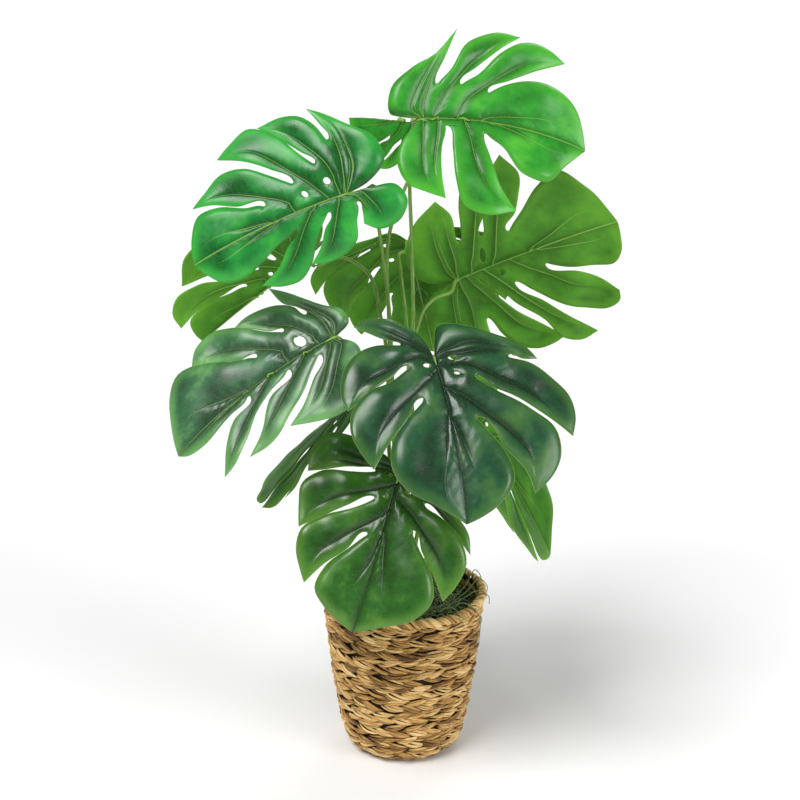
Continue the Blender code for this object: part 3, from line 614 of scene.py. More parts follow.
def thread_finish(name, deep, body, light):
    """Dry moss threads, each with its own tone."""
    f = Finish(name, roughness=0.75, Specular_IOR_Level=0.3)
    _, run = f.layer("grain")
    tone, _ = f.layer("tone")
    drift = f.noise(f.vector(run, f.product(tone, 40.0)), 1.4, 2.0)
    level = f.math("ADD", f.product(tone, 0.65), f.product(drift, 0.35))
    f.set("Base Color", f.ramp(level, [(0.2, deep), (0.8, light), (0.5, body)]))
    f.relief((drift, 0.3, 0.0003))
    return f.material


def crumb_finish(name, deep, body, light, scale, rough):
    """Loose earth, or the near-black mass under the moss, whose darkness is painted shade: crumbs
    of several tones, darkened with painted shade in the gaps between them.
    """
    f = Finish(name, roughness=rough, Specular_IOR_Level=0.3)
    place = f.position()
    crumbs = f.cells(place, scale)
    grain = f.noise(place, scale * 1.7, 5.0, 0.7)
    colour = f.ramp(grain, [(0.3, deep), (0.72, light), (0.52, body)])
    # painted shade: the gaps between the crumbs go to the deep colour
    f.set("Base Color", f.mix(f.band(crumbs, 0.0, 0.12, 0.8, 0.0), colour, deep))
    f.relief((crumbs, 0.8, 0.002), (grain, 0.6, 0.001))
    return f.material


def plastic_finish(name, body, worn):
    """Thin moulded plastic with a faint grain and paler scuffs."""
    f = Finish(name, Specular_IOR_Level=0.4)
    place = f.position()
    grain = f.noise(place, 1400.0, 2.0)
    scuffs = f.noise(place, 55.0, 6.0, 0.75)
    f.set("Base Color", f.mix(f.band(scuffs, 0.56, 0.72), body, worn))
    f.set("Roughness", f.band(scuffs, 0.4, 0.7, 0.42, 0.62))
    f.relief((grain, 0.25, 0.0002))
    return f.material


# ---------------------------------------------------------------------------------------------
# Blades
# ---------------------------------------------------------------------------------------------
def seam_starts(lobes):
    """Where the seams that lead to the slits leave the midrib, from the base to the tip."""
    starts = []
    last = -SEAM_SPACING / 2
    for _, _, _, slit in lobes[:-1]:
        last = max(slit[0] - SEAM_LEAN * slit[1], last + SEAM_SPACING)
        starts.append(last)
    return starts


def midrib_marks(left, right):
    """Marks on the midrib that both halves share, so that their meshes meet: the base, every seam
    start, with near ones merged, and the place where the last lobes begin."""
    groups = []
    for start in sorted(seam_starts(left) + seam_starts(right)):
        if groups and start - groups[-1][-1] < SEAM_MERGE:
            groups[-1].append(start)
        else:
            groups.append([start])
    marks = [0.0] + [float(np.mean(group)) for group in groups]
    return np.array(marks + [marks[-1] + LAST_LOBE_RUN])


def seam(start, slit, hole):
    """The two sides of a seam from the midrib to its slit: the lower lobe's edge and the upper
    lobe's. They are the same line but for a hole, where they part along an ellipse:
    centre - half_length cos(a) along the seam, and half_width sin(a) to either side of it."""
    ahead = unit(slit - start)
    across = np.array([ahead[1], -ahead[0]])
    reach, part = JOINED.copy(), np.zeros(len(JOINED))
    if hole:
        centre, half_length, half_width = hole
        first = int(np.searchsorted(JOINED, centre - half_length))
        last = max(int(np.searchsorted(JOINED, centre + half_length)), first + 4)
        angle = np.linspace(0, math.pi, last - first + 1)
        reach[first:last + 1] = centre - half_length * np.cos(angle)
        part[first + 1:last] = half_width * np.sin(angle[1:-1])
    line = start + (slit - start) * reach[:, None]
    return line - across * part[:, None], line + across * part[:, None]


def slit_edge(start, slit, points, outward):
    """An edge that leaves a slit's rounded end: a quarter circle round the point one radius up the
    slit, then the smooth line through the edge's own points."""
    ahead = unit(slit - start)
    across = np.array([ahead[1], -ahead[0]]) * outward
    centre = slit + ahead * SLIT_END_RADIUS
    arc = [centre + SLIT_END_RADIUS * (math.sin(a) * across - math.cos(a) * ahead)
           for a in (math.pi / 4, math.pi / 2)]
    return smooth_path([slit, *arc, *points], FREE)


def lobe_grids(lobes, marks, holes):
    """One grid of points for each lobe, with rows from the midrib to the lobe's tip and columns
    from its near edge to its far edge, and the columns that are its veins. A vein is a smooth
    curve between the edges; the first lobe has two that fan out. Row 0 keeps to the marks on the
    midrib, and further out the columns crowd towards the veins."""
    starts = [0] + [int(np.argmin(abs(marks - start))) for start in seam_starts(lobes)]
    starts.append(len(marks) - 1)
    reach = np.concatenate([JOINED * 0.5, 0.5 + FREE * 0.5])
    seams = [seam(np.array([marks[starts[k + 1]], 0.0]), np.array(lobe[3], float), holes.get(k))
             for k, lobe in enumerate(lobes[:-1])]
    grids = []
    for number, (near, tip, far, slit) in enumerate(lobes):
        low, high = starts[number], starts[number + 1]
        start = np.array([marks[low], 0.0])
        end = np.array([marks[high], 0.0])
        if number == 0:
            shares = np.concatenate([JOINED * NEAR_ROOT_SHARE,
                                     NEAR_ROOT_SHARE + (1 - NEAR_ROOT_SHARE) * FREE])
            near_edge = smooth_path([start, *near, tip], shares)
        else:
            last_slit = np.array(lobes[number - 1][3], float)
            near_edge = np.concatenate([seams[number - 1][1],
                                        slit_edge(start, last_slit, [*near, tip], 1)])
        if slit is None:
            shares = np.concatenate([JOINED * FAR_ROOT_SHARE,
                                     FAR_ROOT_SHARE + (1 - FAR_ROOT_SHARE) * FREE])
            far_edge = end + (np.array(tip) - end) * shares[:, None]
        else:
            mouth = slit_edge(end, np.array(slit, float), [*far[::-1], tip], -1)
            far_edge = np.concatenate([seams[number][0], mouth])
        columns = (high - low) * COLUMNS_PER_INTERVAL
        places = np.arange(columns) / COLUMNS_PER_INTERVAL
        mark = places.astype(int) + low
        step = np.round(places % 1, 6)
        stations = np.append(marks[mark] + (marks[mark + 1] - marks[mark]) * step, marks[high])
        across = ((stations - stations[0]) / (stations[-1] - stations[0]))[:, None]
        rooted = near_edge[:, None] * (1 - across) + far_edge[:, None] * across
        veins = 2 if number == 0 else 1
        cuts = [columns * cut // (veins + 1) for cut in range(veins + 2)]
        rails = [vein_between(near_edge, far_edge, cut / columns, reach) for cut in cuts[1:-1]]
        rails = [near_edge, *rails, far_edge]
        laid = [near_edge[:, None]]
        for part, (first, last) in enumerate(zip(cuts, cuts[1:])):
            u = np.linspace(0, 1, last - first + 1)[1:]
            if part == 0:
                u = 1 - (1 - u) ** LANE_CROWDING
            elif part == len(cuts) - 2:
                u = u ** LANE_CROWDING
            else:
                u = 0.5 - 0.5 * np.cos(math.pi * u)
            u = u[:, None]
            laid.append(rails[part][:, None] * (1 - u) + rails[part + 1][:, None] * u)
        spread = np.clip(reach / 0.3, 0, 1)[:, None, None]
        grid = rooted * (1 - spread) + np.concatenate(laid, axis=1) * spread
        grid[0] = np.stack([stations, np.zeros(len(stations))], axis=-1)
        grid[-1] = tip
        grids.append((grid, cuts[1:-1]))
    return grids


def vein_between(near_edge, far_edge, share, reach):
    """A smooth line between two edges, about a share of the way across. It keeps to the straight
    line from its root to the tip as far as the edges let it."""
    root = near_edge[0] * (1 - share) + far_edge[0] * share
    ahead = near_edge[-1] - root
    points = [root]
    for row in (np.searchsorted(reach, 0.5), np.searchsorted(reach, 0.78)):
        near, width = near_edge[row], far_edge[row] - near_edge[row]
        behind = root - near
        straight = ((behind[0] * ahead[1] - behind[1] * ahead[0])
                    / (width[0] * ahead[1] - width[1] * ahead[0]))
        place = share + 0.8 * (np.clip(straight, 0.26, 0.74) - 0.5)
        points.append(near + width * np.clip(place, 0.2, 0.8))
    return curve(np.array([*points, near_edge[-1]]), np.array([0.0, 0.5, 0.78, 1.0]), reach)


def leaf_axes(leaf):
    ahead = unit(leaf["towards"])
    normal = np.array(leaf["facing"])
    normal = unit(normal - (normal @ ahead) * ahead)
    return ahead, np.cross(normal, ahead), normal


def bend(flat, leaf):
    """Give flat leaf points their place. Each half rises from the midrib at its fold angle, which
    grows by its curl: out = (sin(fold + curl y) - sin(fold)) / curl. The blade then bends down
    along the midrib on a circle of curvature droop."""
    length = leaf["length"]
    x, y = flat[..., 0], flat[..., 1]
    along = np.clip(x / length, 0, 1)
    bow = leaf["sweep"] * 4 * along * (1 - along) * length
    fold = np.radians(np.where(y >= 0, *leaf["fold"]))
    curl = np.where(y >= 0, *leaf["curl"]) + 1e-6
    angle = fold + curl * abs(y)
    out = np.sign(y) * (np.sin(angle) - np.sin(fold)) / curl + bow
    rise = (np.cos(fold) - np.cos(angle)) / curl
    turn = leaf["droop"] * x
    forward = np.sin(turn) / leaf["droop"] + rise * np.sin(turn)
    up = (np.cos(turn) - 1) / leaf["droop"] + rise * np.cos(turn)
    ahead, sideways, normal = leaf_axes(leaf)
    return (np.array(leaf["base"]) + forward[..., None] * ahead + out[..., None] * sideways
            + up[..., None] * normal)


def nearest(points, targets):
    """Distance from every point to the nearest target."""
    return np.sqrt(np.concatenate([((block[:, None] - targets[None]) ** 2).sum(2).min(1)
                                   for block in blocks(points)]))


def blocks(points):
    """The points in blocks that are small enough to compare with many others at once."""
    return np.array_split(points, max(1, len(points) // NEAREST_BLOCK))


def run_along(line):
    """Length of a line from its start to each of its points."""
    return np.concatenate([[0], np.cumsum(np.linalg.norm(np.diff(line, axis=0), axis=1))])


def vertex_normals(points, quads, triangles):
    normals = np.zeros_like(points)
    for faces in (quads, triangles):
        face_normal = np.cross(points[faces[:, 2]] - points[faces[:, 0]],
                               points[faces[:, -1]] - points[faces[:, 1]])
        for corner in range(faces.shape[1]):
            np.add.at(normals, faces[:, corner], face_normal)
    return unit(normals)


def strongest(points, sources, weights, width):
    """The greatest weight exp(-distance / width) of all sources, at every point."""
    return np.concatenate([
        (weights * np.exp(-np.sqrt(((block[:, None] - sources[None]) ** 2).sum(2)) / width)).max(1)
        for block in blocks(points)])


def ripples(sheet, rng, low, high, count):
    """A sum of sine waves; rng draws their headings, phases, and lengths from low to high."""
    heading, phase = rng.uniform(0, 2 * math.pi, (2, count))
    turns = sheet @ np.stack([np.cos(heading), np.sin(heading)]) / rng.uniform(low, high, count)
    return np.sin(2 * math.pi * turns + phase).sum(1) / count


def blade_surface(leaf, settings, seed):
    """The whole blade as points and faces, upper side, underside and margin.

    The upper side stands off the bent sheet by a height: it swells by Q (1 - valley) between the
    veins, where valley = exp(-d / w), d being the distance to a vein, which fades towards the
    lobe's tip; less a narrow groove on each vein, less a roll at the margin, plus shallow pleats
    along the side veins and slow seeded waves. The underside lies a thickness below it, which
    grows to a ridge under the midrib and the veins."""
    left, right = leaf["outline"]
    length = leaf["length"]
    scale = length / 0.18
    marks = midrib_marks(left, right)
    flat, own, lobe, pleat, quads, triangles, veins, strengths = ([] for _ in range(8))
    first = 0
    for half, (lobes, side) in enumerate(((left, 1), (right, -1))):
        holes = {k: hole for (h, k), hole in leaf["holes"].items() if h == half}
        for number, (grid, vein_columns) in enumerate(lobe_grids(lobes, marks, holes)):
            rows, columns = grid.shape[:2]
            grid = grid * (length / 100)
            points = grid.reshape(-1, 2)
            last = number == len(lobes) - 1
            fade = (0.45, 0.85) if number == 0 else (0.2, 0.6) if last else (0.5, 1.0)
            found = []
            for column in vein_columns:
                vein = grid[:, column]
                ahead = unit(np.gradient(vein, axis=0))
                run = run_along(vein)
                away = ((points[:, None] - vein[None]) ** 2).sum(2)
                close = np.argmin(away, axis=1)
                offset = points - vein[close]
                along = run[close] + (offset * ahead[close]).sum(1)
                across = offset[:, 0] * ahead[close, 1] - offset[:, 1] * ahead[close, 0]
                found.append(np.stack([across, along, along / run[-1], away.min(1)], axis=-1))
                veins.append(vein * (1, side))
                strengths.append(1 - smooth_step(run / run[-1], *fade))
            found = np.stack(found)
            best = found[np.argmin(found[:, :, 3], axis=0), np.arange(len(points))]
            own.append(best[:, :2])
            strength = 1 - smooth_step(best[:, 2], *fade)
            lobe.append(np.stack([np.clip(best[:, 2], 0, 1), strength], axis=-1))
            lane = np.broadcast_to(np.linspace(-1, 1, columns), (rows, columns)).ravel()
            pleat.append((1 - abs(lane) ** 6) * (number > 0))
            flat.append(points * (1, side))
            corner = np.arange(rows - 1)[:, None] * columns + np.arange(columns - 1) + first
            loop = np.stack([corner, corner + 1, corner + columns + 1, corner + columns], axis=-1)
            quads.append(loop[:-1].reshape(-1, 4)[:, ::side])
            triangles.append(loop[-1][:, :3][:, ::side])
            first += rows * columns
    flat, own, lobe, pleat = (np.concatenate(part) for part in (flat, own, lobe, pleat))
    quads, triangles = np.concatenate(quads), np.concatenate(triangles)
    # points that meet to a ten-thousandth of a millimetre become one
    _, keep, weld = np.unique(np.round(flat * 1e7).astype(np.int64), axis=0, return_index=True,
                              return_inverse=True)
    weld = weld.ravel()
    sheet = flat[keep]
    base = bend(sheet, leaf)
    normals = vertex_normals(base, weld[quads], weld[triangles])

    # an edge that only one face uses lies on the margin
    edges = np.concatenate([
        np.stack([weld[f], np.roll(weld[f], -1, axis=1)], axis=-1).reshape(-1, 2)
        for f in (quads, triangles)])
    code = edges.min(1) * len(sheet) + edges.max(1)
    _, place, uses = np.unique(code, return_index=True, return_counts=True)
    rim = edges[place[uses == 1]]
    margin = nearest(sheet, sheet[np.unique(rim)])
    rib = abs(sheet[:, 1])
    share = np.clip(sheet[:, 0] / length, 0, 1)
    valley = strongest(sheet, np.concatenate(veins), np.concatenate(strengths),
                       VALLEY_WIDTH * scale)
    valley = np.maximum(valley, (1 - 0.45 * share) * np.exp(-rib / (0.0065 * scale)))
    groove = np.zeros(len(sheet))
    np.maximum.at(groove, weld, lobe[:, 1] * np.exp(-(own[:, 0] / 0.0010) ** 2))
    groove *= smooth_step(margin, 0.0, 0.008)
    sides = np.zeros(len(sheet))
    phase = (own[:, 1] - SIDE_VEIN_LEAN * abs(own[:, 0])) / SIDE_VEIN_PITCH
    np.maximum.at(sides, weld, pleat * smooth_step(abs(own[:, 0]), 0.0008, 0.004)
                  * (0.5 + 0.5 * np.cos(2 * math.pi * phase)))

    rng = np.random.default_rng(seed)
    quilt = leaf["quilt"]
    waves = ripples(sheet, rng, 0.045, 0.075, 5) * smooth_step(rib, 0.004, 0.05)
    crinkles = ripples(sheet, rng, 0.008, 0.018, 9) * smooth_step(margin, 0, 0.01)
    midrib_groove = 1.6 * np.exp(-(rib / 0.0013) ** 2) * (1 - 0.8 * share)
    height = (settings.quilt_height * quilt * scale * (1 - valley)
              - settings.vein_depth * (groove + midrib_groove)
              - settings.margin_roll * quilt * np.exp(-margin / 0.0042)
              - settings.pleat_depth * quilt * sides
              + settings.wave_height * waves
              + settings.crinkle_height * quilt * crinkles)
    thickness = (settings.thickness * (0.45 + 0.55 * smooth_step(margin, 0, 0.003))
                 + settings.rib_height * np.exp(-(rib / 0.0016) ** 2) * (1 - 0.85 * share)
                 + settings.vein_height * groove)
    upper = base + normals * height[:, None]
    lower = upper - normals * thickness[:, None]

    count = len(sheet)
    form = np.stack([margin, rib], axis=-1) * 100
    own = own * 100
    depth = np.stack([lobe[:, 0], valley[weld]], axis=-1)
    layers = lambda faces: {"veins": own[faces], "form": form[weld[faces]], "lobe": depth[faces],
                            "grain": own[faces], "tone": depth[faces]}
    groups = []
    for faces in (quads, triangles):
        groups.append((weld[faces], 0, layers(faces)))
        turned = faces[:, ::-1]
        groups.append((weld[turned] + count, 1, layers(turned)))
    edge = np.stack([rim[:, 1], rim[:, 0], rim[:, 0] + count, rim[:, 1] + count], axis=-1)
    groups.append((edge, 2, layers(keep[edge % count])))
    return np.concatenate([upper, lower]), groups


def in_cad_place(name, points):
    """A blade's points, moved so that their box is centred on the box of its frame node."""
    low, high = (np.array(corner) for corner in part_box("leaf_" + name))
    shift = (low + high) / 2 - (points.min(0) + points.max(0)) / 2
    off = np.linalg.norm(shift)
    if off > MOST_SHIFT:
        raise RuntimeError(f"blade {name} lies {off * 1000:.1f} mm off its frame node")
    return points + shift


# ---------------------------------------------------------------------------------------------
# Settings
# ---------------------------------------------------------------------------------------------
def length_setting(label, about, value):
    return FloatProperty(name=label, description=about, default=value, min=0.0, precision=5,
                         subtype="DISTANCE", unit="LENGTH")


def amount_setting(label, about, value):
    return FloatProperty(name=label, description=about, default=value, min=0.0)


def angle_setting(label, about, degrees):
    return FloatProperty(name=label, description=about, default=math.radians(degrees),
                         subtype="ANGLE", unit="ROTATION")


def colour_setting(label, about, value):
    return FloatVectorProperty(name=label, description=about, default=value, size=3, min=0.0,
                               max=1.0, subtype="COLOR")


class BladeSettings(PropertyGroup):
    """Sizes and greens of the leaf blades."""
    thickness: length_setting("Thickness", "Thickness of a blade between its veins", 0.0008)
    quilt_height: length_setting("Quilting", "Height of the swells between the veins", 0.0030)
    vein_depth: length_setting("Vein groove", "Depth of the grooves on the upper side", 0.0004)
    vein_height: length_setting("Vein ridge", "Height of the veins under the blade", 0.0006)
    rib_height: length_setting("Midrib", "Height of the midrib on the underside", 0.0020)
    pleat_depth: length_setting("Side veins", "Depth of the pleats at the side veins", 0.00020)
    margin_roll: length_setting("Margin roll", "How far the margins roll down", 0.0017)
    wave_height: length_setting("Waves", "Height of the slow waves of a blade", 0.0036)
    crinkle_height: length_setting("Crinkles", "Height of the small crinkles", 0.00024)
    bright: colour_setting("Young green", "Body of the topmost leaves", (0.017, 0.255, 0.018))
    emerald: colour_setting("Fresh green", "Body of the upper left leaf", (0.007, 0.190, 0.030))
    middle: colour_setting("Low green", "Body of the low leaves", (0.016, 0.098, 0.010))
    dark: colour_setting("Dark green", "Body of the old leaves", (0.006, 0.062, 0.024))
    under: colour_setting("Underside", "Body of the undersides", (0.085, 0.315, 0.026))
    vein: colour_setting("Vein", "Colour of the veins", (0.24, 0.50, 0.06))


class PetioleSettings(PropertyGroup):
    """Sizes and colour of the stalks."""
    radius: length_setting("Radius", "Radius of a petiole at its foot", 0.0027)
    tip_share: amount_setting("Taper", "Radius below the blade, as a share of the foot's", 0.72)
    body: colour_setting("Stalk green", "Body colour of the petioles", (0.125, 0.270, 0.032))


class BasketSettings(PropertyGroup):
    """Weave and colour of the basket."""
    row_pitch: length_setting("Row pitch", "Height of one row of the weave", 0.0085)
    stitch_pitch: length_setting("Stitch pitch", "Length of a stitch round the basket", 0.0192)
    bulge: length_setting("Bulge", "How far a stitch stands out over its stake", 0.0046)
    strand_width: length_setting("Strand width", "Half the width of a flat strand", 0.0017)
    strand_depth: length_setting("Strand depth", "Half the thickness of a flat strand", 0.0012)
    straw: colour_setting("Straw", "Body colour of the seagrass", (0.62, 0.345, 0.092))


class MossSettings(PropertyGroup):
    """The moss over the soil."""
    threads: IntProperty(name="Threads", description="Number of loose moss threads", default=700,
                         min=1, max=2000)
    radius: length_setting("Thread radius", "Radius of one thread", 0.00044)
    body: colour_setting("Moss green", "Body colour of the moss", (0.210, 0.290, 0.125))


class StageSettings(PropertyGroup):
    """Floor, light and camera."""
    floor: colour_setting("Floor", "Colour of the floor", (0.90, 0.90, 0.90))
    side_light: amount_setting("Side light", "Brightness of the sky at its foot", 0.10)
    top_light: amount_setting("Top light", "Brightness of the sky overhead", 0.36)
    key: amount_setting("Key light", "Strength of the main softbox", 2.6)
    fill: amount_setting("Fill light", "Strength of the side softbox", 1.5)
    back: amount_setting("Back light", "Strength of the softbox behind", 0.5)
    softness: angle_setting("Softness", "Width of each softbox in the sky", 30)
    pitch: angle_setting("Camera pitch", "How far the camera looks down", 17.5)
    distance: length_setting("Camera distance", "From the camera to the plant's axis", 1.8)
    aim_height: length_setting("Aim height", "Height that the camera looks at", 0.413)
    lens: amount_setting("Lens", "Focal length of the camera in mm", 74.3)


# ---------------------------------------------------------------------------------------------
# Operators
# ---------------------------------------------------------------------------------------------
class MONSTERA_OT_stage(Operator):
    """Make the pale floor, the soft lights and the camera"""
    bl_idname = "monstera.stage"
    bl_label = "Stage"

    def execute(self, context):
        s = context.scene.monstera_stage
        scene = context.scene
        scene.view_settings.view_transform = "Standard"
        scene.world = self.sky(s)

        f = Finish("studio_floor", roughness=0.8)
        speckle = f.noise(f.position(), 300.0, 3.0)
        f.set("Base Color", f.mix(speckle, tuple(s.floor), shaded(s.floor, 0.985)))
        mesh = bpy.data.meshes.new("floor")
        reach = FLOOR_REACH
        mesh.from_pydata([(-reach, -reach, 0), (reach, -reach, 0), (reach, reach, 0),
                          (-reach, reach, 0)], [], [(0, 1, 2, 3)])
        mesh.materials.append(f.material)
        floor = bpy.data.objects.new("floor", mesh)
        scene.collection.objects.link(floor)

        for name, place in SOFTBOXES.items():
            lamp = bpy.data.lights.new(name + "_softbox", "SUN")
            lamp.energy = getattr(s, name)
            lamp.angle = s.softness
            lit = bpy.data.objects.new(name + "_softbox", lamp)
            lit.location = place
            lit.rotation_euler = towards_origin(place)
            scene.collection.objects.link(lit)

        lens = bpy.data.cameras.new("camera")
        lens.lens = s.lens
        lens.sensor_width = 36.0
        lens.clip_start = 0.05
        camera = bpy.data.objects.new("camera", lens)
        back = np.array([0.0, -math.cos(s.pitch), math.sin(s.pitch)])
        camera.location = np.array([AIM_ACROSS, 0.0, s.aim_height]) + back * s.distance
        camera.rotation_euler = (math.pi / 2 - s.pitch, 0.0, 0.0)
        scene.collection.objects.link(camera)
        scene.camera = camera
        return {"FINISHED"}

    def sky(self, s):
        """A white world that grows brighter with height, from the side light to the top light."""
        world = bpy.data.worlds.new("soft_surround")
        world.use_nodes = True
        tree = world.node_tree
        sky = tree.nodes["Background"]
        sky.inputs["Color"].default_value = (1.0, 1.0, 1.0, 1.0)
        height = tree.nodes.new("ShaderNodeSeparateXYZ")
        tree.links.new(tree.nodes.new("ShaderNodeTexCoord").outputs["Generated"], height.inputs[0])
        grade = tree.nodes.new("ShaderNodeMapRange")
        tree.links.new(height.outputs["Z"], grade.inputs["Value"])
        grade.inputs["From Min"].default_value = 0.0
        grade.inputs["To Min"].default_value = s.side_light
        grade.inputs["To Max"].default_value = s.top_light
        tree.links.new(grade.outputs["Result"], sky.inputs["Strength"])
        return world


def towards_origin(place):
    """Rotation of a lamp at place that shines towards the origin."""
    x, y, z = (-part for part in place)
    return (math.pi / 2 - math.atan2(-z, math.hypot(x, y)), 0.0, math.atan2(-x, y))


class MONSTERA_OT_blades(Operator):
    """Grow the eleven leaf blades"""
    bl_idname = "monstera.blades"
    bl_label = "Leaf blades"

    def execute(self, context):
        s = context.scene.monstera_blades
        finishes = self.finishes(s)
        under, vein = tuple(s.under), tuple(s.vein)
        edge = petiole_finish("blade_margin", shaded(under, 0.8), mixed(under, vein, 0.4), vein)
        for seed, (name, leaf) in enumerate(LEAVES.items()):
            points, groups = blade_surface(leaf, s, seed)
            put_piece("blade_" + name, in_cad_place(name, points), groups,
                      [finishes[leaf["finish"]], finishes["below"], edge],
                      ["leaf_" + name], flat_finish=2)
        return {"FINISHED"}

    def finishes(self, s):
        """The greens. Each row is the deep, body, light and vein colours, and then the roughness,
        strength of the lines, light at the lobes' tips, strength of the pale edge, and the
        specular level. The deep colour also paints shade into the valleys beside the veins, and on
        the middle and dark rows the vein colour is a darker copy that paints shade into the
        grooves."""
        bright, emerald, middle, dark, under, vein = (
            tuple(c) for c in (s.bright, s.emerald, s.middle, s.dark, s.under, s.vein))
        rows = {
            "bright": ("young_blade", shaded(bright, 0.34), bright, (0.080, 0.430, 0.030), vein,
                       0.30, 0.50, 0.85, 0.2, 0.36),
            "emerald": ("fresh_blade", shaded(emerald, 0.20), emerald, (0.045, 0.420, 0.045), vein,
                        0.30, 0.60, 0.80, 0.2, 0.36),
            # painted shade: on the middle and dark rows the vein colour is a darker copy, for the
            # grooves
            "middle": ("low_blade", shaded(middle, 0.28), middle, mixed(middle, vein, 0.35),
                       shaded(middle, 0.4), 0.28, 0.35, 0.85, 0.75, 0.45),
            "dark": ("old_blade", shaded(dark, 0.22), dark, mixed(dark, vein, 0.22),
                     shaded(dark, 0.3), 0.27, 0.45, 0.75, 0.75, 0.45),
            "pale": ("sheeny_blade", shaded(dark, 0.3), (0.016, 0.105, 0.038),
                     (0.150, 0.390, 0.100), (0.16, 0.34, 0.04), 0.36, 0.60, 0.80, 0.5, 0.70),
            "soft": ("side_blade", shaded(middle, 0.7), (0.040, 0.180, 0.013),
                     (0.120, 0.330, 0.020), vein, 0.50, 0.60, 0.80, 0.6, 0.06),
            "olive": ("back_blade", shaded(under, 0.35), shaded(under, 0.7), under, vein,
                      0.36, 0.60, 0.50, 0.5, 0.42),
            "below": ("blade_underside", shaded(under, 0.46), under, (0.150, 0.420, 0.030),
                      mixed(vein, (0.45, 0.65, 0.20), 0.4), 0.52, 0.75, 0.75, 0.3, 0.18),
        }
        return {finish: blade_finish(*row) for finish, row in rows.items()}


class MONSTERA_OT_petioles(Operator):
    """Grow the eleven petioles from the crown into the blades"""
    bl_idname = "monstera.petioles"
    bl_label = "Petioles"

    def execute(self, context):
        s = context.scene.monstera_petioles
        body = tuple(s.body)
        finish = petiole_finish("petiole", shaded(body, 0.45), body, (0.28, 0.46, 0.085))
        crown_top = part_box("root_crown")[1].z
        share = np.linspace(0, 1, 72)
        for name, leaf in LEAVES.items():
            ring, angle = leaf["crown"]
            foot = round_axis(ring, math.radians(angle), crown_top - CROWN_SINK)
            ahead, _, normal = leaf_axes(leaf)
            head = np.array(leaf["base"]) - normal * HEAD_DEPTH
            neck = head - normal * NECK_DROP - ahead * NECK_BACK
            under = np.array(leaf["base"]) + ahead * GRIP - normal * GRIP_DEPTH
            route = [foot, foot + (0, 0, 0.016), *leaf["route"], neck, head, under]
            path = smooth_path(route, share)
            # a little thicker at the foot and at the joint below the blade, and thin inside it
            joint = np.exp(-((np.linalg.norm(path - head, axis=1) - 0.013) / 0.008) ** 2)
            sheath = np.exp(-((share - 0.06) / 0.07) ** 2)
            radius = s.radius * (1 + (s.tip_share - 1) * share)
            radius = radius * (1 + 0.16 * joint + 0.22 * sheath)
            radius = radius * (1 - 0.55 * smooth_step(share, 0.965, 1.0))
            outward = np.broadcast_to(unit(np.cross(path[-1] - path[0], (0.3, 1.0, 0.1))),
                                      path.shape)
            points, groups = strands(path[None], outward[None], radius[None], radius[None] * 0.93,
                                     14, np.array([0.5]))
            put_piece("petiole_" + name, points, groups, [finish], ["stalk_" + name])
        return {"FINISHED"}


class MONSTERA_OT_crown(Operator):
    """Make the root crown with its papery sheaths"""
    bl_idname = "monstera.crown"
    bl_label = "Root crown"

    def execute(self, context):
        low, high = (np.array(corner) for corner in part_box("root_crown"))
        radius = (high[0] - low[0]) / 2
        bark = petiole_finish("crown_bark", (0.045, 0.035, 0.015), (0.11, 0.105, 0.04),
                              (0.20, 0.22, 0.09))
        points, groups = joined([self.stub(radius, low[2], high[2]),
                                 self.sheaths(radius, high[2])])
        put_piece("crown_sheaths", points, groups, [bark], ["root_crown"])
        return {"FINISHED"}

    def stub(self, radius, low, high):
        """The core: its radius ripples as 1 + 0.05 sin(7 a + 30 level) round the axis."""
        lanes, rows = 40, 16
        turns = np.linspace(0, 2 * math.pi, lanes + 1)[:-1]
        levels = np.linspace(0, 1, rows)
        core = radius * (0.96 - 0.10 * levels ** 2)
        core[-1], core[0] = 0.002, 0.004
        height = low + (high - low) * np.clip(levels * 1.06, 0, 1)
        ripple = 1 + 0.05 * np.sin(7 * turns + 30 * levels[:, None])
        rings = round_axis(core[:, None] * ripple, turns, height[:, None])
        faces, row, lane = turned_faces(rows, lanes, closed=False)
        up = row / (rows - 1)
        layers = {"grain": np.stack([lane / lanes * 3, up * 4], axis=-1),
                  "tone": np.stack([np.full(up.shape, 0.4), up * 0.2], axis=-1)}
        blank = {layer: np.zeros((1, lanes, 2)) for layer in layers}
        ring = np.arange(lanes)[None]
        return rings.reshape(-1, 3), [(faces, 0, layers), (ring[:, ::-1], 0, blank),
                                      (ring + (rows - 1) * lanes, 0, blank)]

    def sheaths(self, radius, top):
        """Thin blades that wrap the stub and end in a point beside the petioles."""
        count = 9
        rng = np.random.default_rng(5)
        around = 2 * math.pi * (np.arange(count) + 0.3) / count
        rise = np.linspace(0, 1, 12)
        tall = rng.uniform(0.022, 0.044, count)[:, None]
        spread = radius * (1.0 + 0.10 * np.sin(math.pi * rise)
                           + 0.10 * rise ** 2 * rng.uniform(-0.6, 1.2, count)[:, None])
        lean = around[:, None] + 0.25 * rise * rng.uniform(-1, 1, count)[:, None]
        path = round_axis(spread, lean, top - 0.030 + rise * tall)
        wide = 0.0050 * (1 - rise ** 2.2) + 0.0004
        return strands(path, round_axis(1.0, lean, 0.0), np.broadcast_to(wide, lean.shape),
                       np.full(lean.shape, 0.0007), 8, rng.uniform(0.2, 0.8, count))


